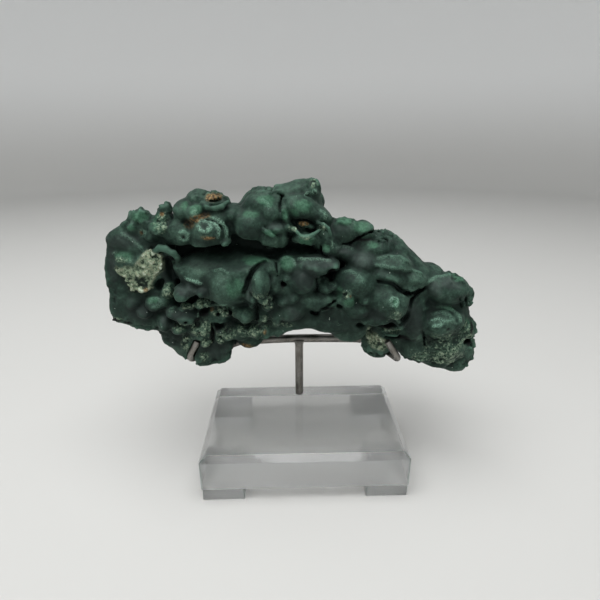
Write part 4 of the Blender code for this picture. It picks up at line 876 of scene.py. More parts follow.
class Field:
    """The stone's distance field on a regular grid: negative inside, positive outside."""

    def __init__(self, low, high, step):
        self.low = np.array(low, float)
        self.step = step
        count = np.ceil((np.array(high) - self.low) / step).astype(int) + 1
        self.axes = [self.low[i] + step * np.arange(count[i]) for i in range(3)]
        self.value = np.full(count, FAR, np.float32)
        mesh = np.ix_(*self.axes)
        self.warped = []
        for axis in range(3):
            shift = 0.0
            for size, amount, seed in WARPS:
                shift = shift + amount * noise(*mesh, size, seed + axis)
            self.warped.append((mesh[axis] + shift).astype(np.float32))

    def window(self, low, high):
        """The grid cells between two corners, and their warped coordinates."""
        slices = []
        for axis in range(3):
            first = int(np.clip((low[axis] - self.low[axis]) // self.step, 0, None))
            last = int(np.clip((high[axis] - self.low[axis]) // self.step + 2, 1, None))
            slices.append(slice(first, last))
        here = tuple(slices)
        return here, [c[here] for c in self.warped]

    def around(self, centre, reach):
        """The window that holds everything within reach of a point."""
        return self.window([c - reach for c in centre], [c + reach for c in centre])

    def beside(self, start, end, radius):
        """The window that holds a rod of this radius between two points."""
        reach = radius + MARGIN
        return self.window(np.minimum(start, end) - reach, np.maximum(start, end) + reach)

    def blend(self, here, distance, width, sign=1):
        """Blend a form into the stone, or out of it where the sign is -1."""
        self.value[here] = sign * blend_min(sign * self.value[here], distance, width)

    def lobe(self, centre, radii, roll, width, sign=1):
        """A stretched ball that is added to the stone or, with sign -1, hollows it."""
        here, at = self.around(centre, max(radii) + width + MARGIN)
        self.blend(here, ellipsoid(*at, centre, radii, roll), width, sign)

    def add_plate(self, outline, front, back, rounding, width):
        """A flat plate with rounded edges, its outline in the XZ plane."""
        xs, zs = [p[0] for p in outline], [p[1] for p in outline]
        here, (x, y, z) = self.window((min(xs) - MARGIN, front - MARGIN, min(zs) - MARGIN),
                                      (max(xs) + MARGIN, back + MARGIN, max(zs) + MARGIN))
        side = polygon(x, z, outline) + rounding
        face = np.abs(y - (front + back) / 2) - (back - front) / 2 + rounding
        outside = np.sqrt(np.maximum(side, 0) ** 2 + np.maximum(face, 0) ** 2)
        self.blend(here, np.minimum(np.maximum(side, face), 0) + outside - rounding, width)

    def rod(self, start, end, radius, width, sign=1):
        """A straight rod that is added to the stone or, with sign -1, cut out of it."""
        here, at = self.beside(start, end, radius)
        self.blend(here, segment(*at, start, end) - radius, width, sign)

    def add_crest(self, radius, width, points):
        """A thin rounded ridge along a line."""
        for start, end in zip(points, points[1:]):
            self.rod(start, end, radius, width)

    def surface(self, place):
        """Where the sight line through a picture place first meets the stone, or None."""
        points = sight_line(place)
        inside = self.sample(self.value, points) < 0
        return points[inside.argmax()] if inside.any() else None

    def draped(self, places):
        """A picture line's points on the surface, with more of them between its corners."""
        line = []
        for start, end in zip(places, places[1:]):
            start, end = np.array(start, float), np.array(end, float)
            count = max(1, round(np.linalg.norm(end - start) / (LINE_SPACING / PICTURE_MM)))
            line += [start + (end - start) * step / count for step in range(count)]
        line.append(np.array(places[-1], float))
        points = [self.surface(place) for place in line]
        return [point for point in points if point is not None]

    def add_curl(self, radius, width, places):
        """A thin raised line that follows the surface."""
        points = self.draped(places)
        for start, end in zip(points, points[1:]):
            if np.linalg.norm(end - start) < CURL_REACH:
                self.add_crest(radius, width, [start, end])

    def cut_crease(self, half, depth, width, places):
        """A narrow crease that follows the surface and closes toward its bottom."""
        points = self.draped(places)
        eye = np.array(CAMERA_PLACE)
        for start, end in zip(points, points[1:]):
            if np.linalg.norm(end - start) > CURL_REACH:
                continue
            ways = [(p - eye) / np.linalg.norm(p - eye) for p in (start, end)]
            for step in range(CREASE_STEPS):
                share = step / (CREASE_STEPS - 1)
                first, last = start + ways[0] * depth * share, end + ways[1] * depth * share
                self.rod(first, last, half * (1 - CREASE_TAPER * share), width, -1)

    def fill_valleys(self, reach, gap):
        """Raise the gaps between the lobes, which leaves the lobes themselves alone."""
        near = np.clip(self.value, -FILL_DEPTH, FILL_DEPTH)
        filled = self.blurred(near, reach) + gap
        self.value = np.where(self.value < FILL_DEPTH,
                              blend_min(self.value, filled, FILL_BLEND), self.value)

    def near(self, reach):
        """Index and true coordinates of the grid points within reach of the surface."""
        index = np.nonzero(np.abs(self.value) < reach)
        return index, [axis[i] for axis, i in zip(self.axes, index)]

    def sample(self, grid, points):
        """A grid's values at any points, read linearly between its cells."""
        scaled = (points - self.low) / self.step
        cell = np.clip(np.floor(scaled).astype(int), 0, np.array(grid.shape) - 2)
        part = scaled - cell
        total = np.zeros(len(points))
        for corner in np.ndindex(2, 2, 2):
            weight = np.prod(np.where(corner, part, 1 - part), axis=1)
            total += weight * grid[tuple((cell + corner).T)]
        return total

    def blurred(self, grid, radius):
        """A grid averaged over about this radius, twice, along each axis."""
        half = max(1, round(radius / self.step))
        for _ in range(2):
            for axis in range(3):
                pad = [(half + 1, half) if i == axis else (0, 0) for i in range(3)]
                total = np.cumsum(np.pad(grid, pad, mode="edge"), axis=axis)
                count = grid.shape[axis]
                top = np.take(total, np.arange(2 * half + 1, 2 * half + 1 + count), axis)
                low = np.take(total, np.arange(count), axis)
                grid = (top - low) / (2 * half + 1)
        return grid

    def skin(self):
        """Surface nets: one vertex in each cell that the surface crosses, and the quads."""
        inside, count = self.value < 0, self.value.shape
        held = sum(inside[i:count[0] - 1 + i, j:count[1] - 1 + j, k:count[2] - 1 + k]
                   .astype(np.int8) for i, j, k in np.ndindex(2, 2, 2))
        crossed = (held > 0) & (held < 8)
        places = np.argwhere(crossed)
        number = np.full(crossed.shape, -1, np.int64)
        number[crossed] = np.arange(len(places))
        return self.net_points(places), self.net_quads(inside, number)

    def net_points(self, places):
        """In each cell, the middle of the points where the surface crosses its edges."""
        corners = list(np.ndindex(2, 2, 2))
        total, hits = np.zeros((len(places), 3)), np.zeros(len(places))
        for a in corners:
            for b in corners:
                if sum(b) - sum(a) != 1 or any(p > q for p, q in zip(a, b)):
                    continue
                at_a = self.value[tuple((places + a).T)].astype(float)
                at_b = self.value[tuple((places + b).T)].astype(float)
                hit = (at_a < 0) != (at_b < 0)
                t = at_a[hit] / (at_a[hit] - at_b[hit])
                total[hit] += np.array(a) + t[:, None] * (np.array(b) - np.array(a))
                hits[hit] += 1
        return self.low + (places + total / hits[:, None]) * self.step

    def net_quads(self, inside, number):
        """A quad round each lattice edge that the surface crosses, facing out."""
        quads = []
        for axis in range(3):
            u, v, step = (np.eye(3, dtype=int)[axis - back] for back in (2, 1, 0))
            last = [size - more for size, more in zip(inside.shape, step)]
            here, beyond = inside[:last[0], :last[1], :last[2]], inside[step[0]:, step[1]:, step[2]:]
            edges = np.argwhere(here != beyond)
            ring = [edges - u - v, edges - v, edges, edges - u]
            quad = np.stack([number[tuple(cell.T)] for cell in ring], axis=1)
            backward = beyond[tuple(edges.T)]
            quad[backward] = quad[backward][:, ::-1]
            quads.append(quad)
        return np.concatenate(quads)


# ---------------------------------------------------------------- the stand's meshes

def new_object(name, data):
    """An object in the scene that shows this data."""
    item = bpy.data.objects.new(name, data)
    bpy.context.scene.collection.objects.link(item)
    return item


def add_piece(name, mesh, material, node):
    """A finished piece that stands for one of the solids."""
    mesh.materials.append(material)
    item = new_object(name, mesh)
    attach(item, "root")
    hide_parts(node)


def bridge(shape, rings):
    """Faces between each ring of vertices and the next."""
    for low, high in zip(rings, rings[1:]):
        for here in range(len(low)):
            after = (here + 1) % len(low)
            shape.faces.new((low[here], low[after], high[after], high[here]))


def close_ends(shape, rings):
    """One face over the first ring and one over the last."""
    shape.faces.new(reversed(rings[0]))
    shape.faces.new(rings[-1])


def finished_mesh(name, shape):
    """A mesh in metres from a bmesh in millimetres."""
    bmesh.ops.scale(shape, vec=(MM,) * 3, verts=shape.verts)
    mesh = bpy.data.meshes.new(name)
    shape.to_mesh(mesh)
    shape.free()
    return mesh


def rounded_outline(centre, width, depth, corner, z):
    """Points of a level rectangle with eased corners, anticlockwise from above."""
    points = []
    for quarter, (side_x, side_y) in enumerate(((1, 1), (-1, 1), (-1, -1), (1, -1))):
        for step in range(CORNER_STEPS + 1):
            angle = pi / 2 * (quarter + step / CORNER_STEPS)
            x = centre[0] + side_x * (width / 2 - corner) + corner * cos(angle)
            y = centre[1] + side_y * (depth / 2 - corner) + corner * sin(angle)
            points.append((x, y, z))
    return points


def polished_slab(name, centre, levels, corner):
    """A slab skinned over level outlines (width, depth, height), its edges polished round."""
    shape = bmesh.new()
    rings = []
    for width, depth, z in levels:
        outline = rounded_outline(centre, width, depth, corner, z)
        rings.append([shape.verts.new(point) for point in outline])
    bridge(shape, rings)
    close_ends(shape, rings)
    sharp = [edge for edge in shape.edges if edge.calc_face_angle(0) > EDGE_ANGLE]
    bmesh.ops.bevel(shape, geom=sharp, offset=POLISH, segments=POLISH_STEPS, profile=0.5,
                    affect="EDGES")
    for face in shape.faces:
        face.smooth = face.calc_area() < SMALL_FACE
    return finished_mesh(name, shape)


def build_block(material):
    """Clear slab with a 45 degree bevel round its top."""
    top = BLOCK_BOTTOM + BLOCK_HEIGHT
    levels = [(BLOCK_WIDTH, BLOCK_DEPTH, BLOCK_BOTTOM),
              (BLOCK_WIDTH, BLOCK_DEPTH, top - BLOCK_BEVEL),
              (BLOCK_WIDTH - 2 * BLOCK_BEVEL, BLOCK_DEPTH - 2 * BLOCK_BEVEL, top)]
    mesh = polished_slab("clear_block", (BLOCK_X, 0.0), levels, BLOCK_CORNER)
    add_piece("clear_block", mesh, material, "acrylic_block")


def build_foot(depth, side_y, side, side_x, material):
    """Square clear foot under one corner of the block."""
    reach_x = BLOCK_WIDTH / 2 - FOOT_INSET - FOOT_SIZE / 2
    reach_y = BLOCK_DEPTH / 2 - FOOT_INSET - FOOT_SIZE / 2
    name = f"clear_foot_{depth}_{side}"
    levels = [(FOOT_SIZE, FOOT_SIZE, 0.0), (FOOT_SIZE, FOOT_SIZE, FOOT_HEIGHT)]
    centre = (BLOCK_X + side_x * reach_x, side_y * reach_y)
    mesh = polished_slab(name, centre, levels, FOOT_EASE)
    add_piece(name, mesh, material, f"foot_{depth}_{side}")


def round_corners(route):
    """Replace each inner corner of a route by a short smooth bend."""
    points = [Vector(p) for p in route]
    bent = [points[0]]
    for before, corner, after in zip(points, points[1:], points[2:]):
        shorter = min((before - corner).length, (after - corner).length)
        reach = min(BEND_CUT, shorter * BEND_SHARE)
        start = corner + (before - corner).normalized() * reach
        end = corner + (after - corner).normalized() * reach
        for step in range(BEND_STEPS + 1):
            t = step / BEND_STEPS
            bent.append(start * (1 - t) ** 2 + corner * 2 * t * (1 - t) + end * t ** 2)
    bent.append(points[-1])
    return bent


def spaced(points, spacing):
    """The same line with a point about every so many millimetres."""
    line = [points[0]]
    for start, end in zip(points, points[1:]):
        count = max(1, round((end - start).length / spacing))
        line += [start.lerp(end, step / count) for step in range(1, count + 1)]
    return line


def ring_stations(line):
    """A rod's rings: middle, direction, way along the rod, and how much smaller the ring is."""
    steps = [b - a for a, b in zip(line, line[1:])]
    ways = [steps[0]] + [a.normalized() + b.normalized() for a, b in zip(steps, steps[1:])]
    ways.append(steps[-1])
    reached = [0.0]
    for step in steps:
        reached.append(reached[-1] + step.length)
    start = line[0] + ways[0].normalized() * END_EASE
    end = line[-1] - ways[-1].normalized() * END_EASE
    stations = [(line[0], ways[0], 0.0, END_EASE), (start, ways[0], 0.0, 0.0)]
    stations += [(*row, 0.0) for row in list(zip(line, ways, reached))[1:-1]]
    total = reached[-1]
    return stations + [(end, ways[-1], total, 0.0), (line[-1], ways[-1], total, END_EASE)]


def rod_mesh(name, points, radius_at, heat_at):
    """A round rod along a line, its ends eased. Radius and heat depend on the way along it."""
    stations = ring_stations(spaced([Vector(point) for point in points], ROD_SPACING))
    total = stations[-1][2]
    shape = bmesh.new()
    heat = shape.verts.layers.float.new("heat")
    side = stations[0][1].orthogonal()
    rings = []
    for centre, way, reached, ease in stations:
        way = way.normalized()
        side = (side - way * side.dot(way)).normalized()
        over = way.cross(side)
        radius = radius_at(reached, total) - ease
        ring = []
        for step in range(ROD_SIDES):
            angle = 2 * pi * step / ROD_SIDES
            vert = shape.verts.new(centre + (side * cos(angle) + over * sin(angle)) * radius)
            vert[heat] = heat_at(reached, total)
            ring.append(vert)
        rings.append(ring)
    bridge(shape, rings)
    close_ends(shape, rings)
    bmesh.ops.recalc_face_normals(shape, faces=shape.faces)
    for face in shape.faces:
        face.smooth = len(face.verts) == 4
    return finished_mesh(name, shape)


def crossbar_points():
    """The crossbar's axis: level, with its middle bowed up over the post."""
    points = []
    for step in range(BAR_STEPS + 1):
        x = BAR_LEFT + (BAR_RIGHT - BAR_LEFT) * step / BAR_STEPS
        side = BAR_RIGHT if x > 0 else BAR_LEFT
        points.append((x, POST_Y, BAR_Z + BAR_BOW * (1 - (x / side) ** 2)))
    return points


def bead(reached, centre, half, height):
    """The swell of a weld bead at one place along a rod."""
    away = abs(reached - centre) / half
    return height * cos(away * pi / 2) ** 2 if away < 1 else 0.0


def build_armature(material, bar, left, right):
    """Post, crossbar and the two arms with their prongs, joined by ground-down welds."""
    bottom = BLOCK_BOTTOM + BLOCK_HEIGHT + GAP
    top = BAR_Z + BAR_BOW
    post = [(0, POST_Y, bottom), (0, POST_Y, top)]

    def post_radius(reached, total):
        rise = max(0.0, 1 - (total - reached) / FLARE_HEIGHT)
        return POST_DIAMETER / 2 + FLARE * rise ** 2

    def post_heat(reached, total):
        return float(ramp(reached, total - POST_HEAT[1], total - POST_HEAT[0]))

    def bar_radius(reached, total):
        ends = bead(reached, 0, *BAR_END_BEAD) + bead(reached, total, *BAR_END_BEAD)
        return POST_DIAMETER / 2 + ends

    def bar_heat(reached, total):
        ends = 1 - float(ramp(min(reached, total - reached), *BAR_HEAT))
        return max(ends, bead(reached, -BAR_LEFT, BAR_MIDDLE_HEAT, 1.0))

    def arm_radius(reached, _total):
        return ARM_DIAMETER / 2 + bead(reached, 0, *ARM_BEAD)

    def arm_heat(reached, _total):
        return 1 - float(ramp(reached, *ARM_HEAT))

    pieces = [("steel_post", "post", post, post_radius, post_heat),
              ("steel_crossbar", "crossbar", bar, bar_radius, bar_heat),
              ("steel_arm_left", "arm_left", left, arm_radius, arm_heat),
              ("steel_arm_right", "arm_right", right, arm_radius, arm_heat)]
    for name, node, points, radius_at, heat_at in pieces:
        mesh = rod_mesh(name, points, radius_at, heat_at)
        add_piece(name, mesh, material, node)


# ---------------------------------------------------------------- the stone's mesh

def place_spots(field):
    """Each spot's point on the stone's surface and its half width and height, by kind."""
    spots = {}
    for kind, rows in SPOTS.items():
        found = [(field.surface(place), radii) for _name, place, radii in rows]
        spots[kind] = [(point, radii) for point, radii in found if point is not None]
    return spots


def spots_at(spots, name, x, y, z):
    """How much of a named kind of spot there is at points near the surface, 0 to 1."""
    ragged = layered(SPOT_EDGE_NOISE, x, y, z)
    total = np.zeros(x.shape, np.float32)
    for centre, radii in spots[name]:
        depth = max(radii) + SPOT_DEPTH
        reach = np.sqrt(((x - centre[0]) / radii[0]) ** 2 + ((z - centre[2]) / radii[1]) ** 2
                        + ((y - centre[1]) / depth) ** 2)
        total = np.maximum(total, 1 - ramp(reach + ragged, *SPOT_EDGE))
    return total


def line_at(lines, x, y, z):
    """How pale the raised lines make points, partly by painted highlight: up to 1 on the palest, 0
    away from them.
    """
    total = np.zeros(x.shape)
    for strength, points in lines:
        for start, end in zip(points, points[1:]):
            if np.linalg.norm(end - start) < CURL_REACH:
                near = 1 - ramp(segment(x, y, z, start, end), *LINE_WIDTH)
                total = np.maximum(total, strength * near)
    return total


def matrix_at(x, y, z):
    """How much of the pale rough matrix there is at points, 0 to 1."""
    ragged = layered(MATRIX_EDGE_NOISE, x, y, z)
    total = np.zeros(x.shape, np.float32)
    patches = ((MATRIX_OUTLINE, MATRIX_DEPTH, MATRIX_REAR),
               (LOW_MATRIX_OUTLINE, LOW_MATRIX_DEPTH, LOW_MATRIX_REAR))
    for places, depth, rear in patches:
        inside = polygon(x, z, seen_outline(places, depth)) + ragged
        here = (1 - ramp(inside, -1.0, 1.0)) * (1 - ramp(y, rear, rear + 2))
        total = np.maximum(total, here)
    return total


def roughen(field, spots):
    """Low lumps all over, and crystal crusts and grainy matrix where they show."""
    index, at = field.near(SKIN)
    x, y, z = (c.astype(np.float32) for c in at)
    value = field.value[index]
    crystal = spots_at(spots, "crystal", x, y, z)
    matrix = matrix_at(x, y, z)
    ragged = spots_at(spots, "ragged", x, y, z)
    value -= ragged * layered(RAGGED_NOISE, x, y, z)
    rear = ramp(y, *REAR)
    lumps = 1 - cells(x, y, z, LUMP_SIZE, LUMP_SEED) ** 2
    value -= (LUMP_FRONT + LUMP_REAR * rear) * (lumps - LUMP_LEVEL) * (1 - matrix)
    value -= layered(SKIN_NOISE, x, y, z) * (1 - matrix)
    crust = REAR_CRUST_SHARE * rear * ramp(noise(x, y, z, *REAR_CRUST_NOISE), *REAR_CRUST)
    value -= np.maximum(crystal, crust) * grainy(CRYSTAL_CELLS, CRYSTAL_NOISE, x, y, z)
    value -= matrix * grainy(MATRIX_CELLS, MATRIX_NOISE, x, y, z)
    field.value[index] = value


def carve_rod(field, points, radius, opening):
    """Room for a rod under or before the stone, kept open in one direction."""
    for start, end in zip(points, points[1:]):
        for step in range(SLOT_STEPS + 1):
            push = np.array(opening) * (SLOT_REACH * step / SLOT_STEPS)
            first, last = np.array(start) + push, np.array(end) + push
            here, _warped = field.beside(first, last, radius)
            at = np.ix_(*[axis[part] for axis, part in zip(field.axes, here)])
            distance = segment(*at, first, last) - radius
            field.value[here] = np.maximum(field.value[here], -distance)


def largest_piece(points, quads):
    """The points and quads of the largest connected piece, without crumbs."""
    label = np.arange(len(points))
    while True:
        lowest = label[quads].min(axis=1)
        after = label.copy()
        for corner in range(4):
            np.minimum.at(after, quads[:, corner], lowest)
        after = after[after]
        if np.array_equal(after, label):
            break
        label = after
    names, sizes = np.unique(label, return_counts=True)
    keep = label == names[sizes.argmax()]
    number = np.cumsum(keep) - 1
    return points[keep], number[quads[keep[quads[:, 0]]]]


def mesh_from(name, points, quads):
    """A smooth-shaded mesh in metres from points in millimetres and quads."""
    mesh = bpy.data.meshes.new(name)
    mesh.vertices.add(len(points))
    mesh.vertices.foreach_set("co", (points * MM).ravel())
    mesh.loops.add(quads.size)
    mesh.loops.foreach_set("vertex_index", quads.ravel())
    mesh.polygons.add(len(quads))
    mesh.polygons.foreach_set("loop_start", np.arange(0, quads.size, 4))
    mesh.update(calc_edges=True)
    mesh.validate()
    mesh.shade_smooth()
    return mesh


def thinned(mesh, triangles):
    """The same mesh with about this many triangles, most of them where it bends."""
    item = new_object("dense_stone", mesh)
    fewer = item.modifiers.new("thin_out", "DECIMATE")
    fewer.ratio = min(1.0, triangles / (2 * len(mesh.polygons)))
    fewer.use_collapse_triangulate = True
    graph = bpy.context.evaluated_depsgraph_get()
    thin = bpy.data.meshes.new_from_object(item.evaluated_get(graph))
    bpy.data.objects.remove(item)
    thin.shade_smooth()
    thin.name = "malachite_stone"
    return thin


def mark(mesh, name, values):
    """Store one number for each vertex, for the material to read."""
    layer = mesh.attributes.new(name, "FLOAT", "POINT")
    layer.data.foreach_set("value", np.asarray(values, np.float32))


def stone_field():
    """The stone's forms, blended and hollowed, before it is roughened."""
    field = Field(STONE_LOW, STONE_HIGH, STEP)
    for _name, place, depth, sizes, roll, width in BODIES:
        field.lobe(*seen_form(place, depth - BODY_FORWARD, sizes), roll, width)
    plate = seen_outline(PLATE_OUTLINE, PLATE_DEPTH)
    matrix = seen_outline(MATRIX_OUTLINE, MATRIX_DEPTH)
    field.add_plate(plate, PLATE_FRONT, PLATE_BACK, PLATE_EDGE, PLATE_BLEND)
    field.add_plate(matrix, MATRIX_FRONT, MATRIX_BACK, MATRIX_EDGE, MATRIX_BLEND)
    rows = [row for group in LOBES for row in group]
    for _name, place, depth, sizes, roll, width in rows:
        if sizes[0] >= SMALL_LOBE:
            swollen = [size + more for size, more in zip(sizes, SWELL)]
            field.lobe(*seen_form(place, depth, swollen), roll, width * BLEND_SHARE)
    for _name, centre, radii, roll, width in REAR_LOBES:
        field.lobe(centre, radii, roll, width)
    field.value += SHRINK
    field.fill_valleys(*WIDE_FILL)
    for _name, place, depth, sizes, roll, width in rows:
        if sizes[0] < SMALL_LOBE:
            field.lobe(*seen_form(place, depth, sizes), roll, width + SMALL_BLEND)
    field.fill_valleys(*FINE_FILL)
    for _name, place, depth, sizes, roll, width in HOLLOWS:
        field.lobe(along_sight(place, depth), sizes, roll, width, -1)
    for _name, centre, radii, roll, width in REAR_HOLLOWS:
        field.lobe(centre, radii, roll, width, -1)
    for _name, place, depth, sizes, roll, width in INNER_LOBES:
        field.lobe(*seen_form(place, depth, sizes), roll, width)
    for _name, radius, width, points in CRESTS:
        field.add_crest(radius, width, [along_sight(point[:2], point[2]) for point in points])
    for _name, half, depth, width, places in CREASES:
        field.cut_crease(half, depth, width, places)
    for _name, radius, width, places in CURLS:
        field.add_curl(radius, width, places)
    return field


def seat_rods(field, bar, arms):
    """Room for the crossbar and the arms, open to below, and for the prongs, open to the front."""
    down, forward = (0.0, 0.0, -1.0), (0.0, -1.0, 0.0)
    carve_rod(field, bar, POST_DIAMETER / 2 + GAP, down)
    for arm in arms:
        carve_rod(field, arm[:-2], ARM_DIAMETER / 2 + GAP, down)
        carve_rod(field, arm[-PRONG_POINTS:], ARM_DIAMETER / 2 + GAP, forward)


def add_marks(mesh, field, spots, lines):
    """Everything that the stone's material reads, stored at the mesh's vertices."""
    points = np.empty(len(mesh.vertices) * 3)
    mesh.vertices.foreach_get("co", points)
    points = points.reshape(-1, 3) / MM
    x, y, z = points.T.astype(np.float32)
    clipped = np.clip(field.value, -MARK_LIMIT, MARK_LIMIT)
    for name, (radius, unit) in (("grain", GRAIN_MARK), ("fold", FOLD_MARK)):
        mark(mesh, name, field.sample(field.blurred(clipped, radius), points) / unit)
    # How enclosed each place is; the material paints shade by it.
    solid = (field.value < 0).astype(np.float32)
    mark(mesh, "recess_shade_mask", field.sample(field.blurred(solid, RECESS_SHADE_RADIUS), points) * 2 - 1)
    mark(mesh, "matrix", matrix_at(x, y, z))
    mark(mesh, "line", line_at(lines, x, y, z))
    for kind in SPOTS:
        if kind not in SHAPE_KINDS:
            mark(mesh, kind, spots_at(spots, kind, x, y, z))


def build_stone(bar, left, right):
    """The whole stone: shaped, roughened, seated on its rods, meshed and marked."""
    field = stone_field()
    spots = place_spots(field)
    lines = [(1.0 if name in PALE_CURLS else LINE_STRENGTH, field.draped(places))
             for name, _radius, _width, places in CURLS]
    roughen(field, spots)
    seat_rods(field, bar, (left, right))
    dense = mesh_from("malachite_stone", *largest_piece(*field.skin()))
    mesh = thinned(dense, STONE_TRIANGLES)
    add_marks(mesh, field, spots, lines)
    add_piece("malachite_stone", mesh, malachite_material(), "malachite")


# ---------------------------------------------------------------- materials

# Colour ramps: where each colour lies from 0 to 1, and the colour.
GREENS = [(0.36, (0.006, 0.014, 0.011)), (0.46, (0.016, 0.036, 0.026)),
          (0.56, (0.044, 0.088, 0.063)), (0.68, (0.105, 0.182, 0.134))]
GREYS = [(0.3, (0.016, 0.024, 0.022)), (0.7, (0.048, 0.062, 0.058))]
BRIGHT_GREENS = [(0.35, (0.020, 0.080, 0.042)), (0.7, (0.085, 0.215, 0.130))]
CRUST_COLOURS = [(0.22, (0.003, 0.007, 0.005)), (0.42, (0.016, 0.038, 0.026)),
                 (0.58, (0.085, 0.145, 0.095)), (0.80, (0.310, 0.390, 0.270))]
RUBBLE_COLOURS = [(0.18, (0.024, 0.040, 0.028)), (0.34, (0.120, 0.175, 0.110)),
                  (0.48, (0.300, 0.390, 0.265)), (0.60, (0.230, 0.235, 0.150)),
                  (0.78, (0.520, 0.620, 0.480))]
RUST_COLOURS = [(0.35, (0.030, 0.017, 0.008)), (0.5, (0.150, 0.082, 0.026)),
                (0.68, (0.330, 0.230, 0.110))]
STEEL_COLOURS = [(0.3, (0.120, 0.106, 0.090)), (0.5, (0.200, 0.188, 0.168)),
                 (0.7, (0.290, 0.280, 0.260))]
# The dark tone and shade green is partly the stone's darker tone, partly painted shade.
CREST_GREEN, DARK_TONE_AND_SHADE_GREEN = (0.075, 0.165, 0.115), (0.007, 0.013, 0.011)
# The rim and highlight green: pale rims, and painted highlight along the raised lines.
PALE_GREEN, RIM_AND_HIGHLIGHT_GREEN = (0.170, 0.290, 0.210), (0.170, 0.310, 0.230)
RUBBLE_DIRT = (0.080, 0.105, 0.065)
# Painted shade: the colour of hollow creases and recesses, and of holes in shadow.
PAINTED_CREASE_SHADE, PAINTED_HOLE_SHADE = (0.004, 0.010, 0.008), (0.002, 0.003, 0.003)
# Painted highlight: the colour of the tiny glints.
PAINTED_GLINT_COLOUR = (0.520, 0.640, 0.560)
HEATED_STEEL, STREAK_STEEL = (0.070, 0.050, 0.036), (0.420, 0.410, 0.390)
# Textures: size in millimetres, detail, roughness and distortion.
BROAD, CLOUDY, FINE, SPECKLE = (34.0, 3.0), (7.0, 4.0, 0.6, 0.4), (1.6, 5.0, 0.7), (0.9, 3.0)
RUST_EDGE, RUST_GRAIN = (2.2, 4.0), (1.6, 4.0)
DIMPLES, TOOTH = (2.4, 3.0, 0.6), (0.5, 3.0, 0.6)
STREAKS, STEEL_CLOUD = (0.5, 4.0, 0.6), (9.0, 4.0, 0.6, 0.6)
HANDLING, WAVES = (18.0, 6.0, 0.7, 0.3), (26.0, 2.0)
STREAK_DRAW = 0.12               # how much the steel's streaks are drawn out
FACET_SIZE, RUBBLE_SIZE, GRIT_SIZE, GLINT_SIZE = 1.1, 1.7, 0.8, 3.4
GLINT_REACH, GLINT_CHOICE = 0.085, 0.80     # of a cell; cells with a higher value have one
PAPER, BACKDROP = (0.54, 0.54, 0.525), (0.84, 0.85, 0.85)
ACRYLIC, ACRYLIC_DEPTH = (0.995, 0.998, 0.996), (0.80, 0.88, 0.86, 1.0)
SAWN_BAND = (0.05, 0.3)          # the block's underside is left rough up to about this high

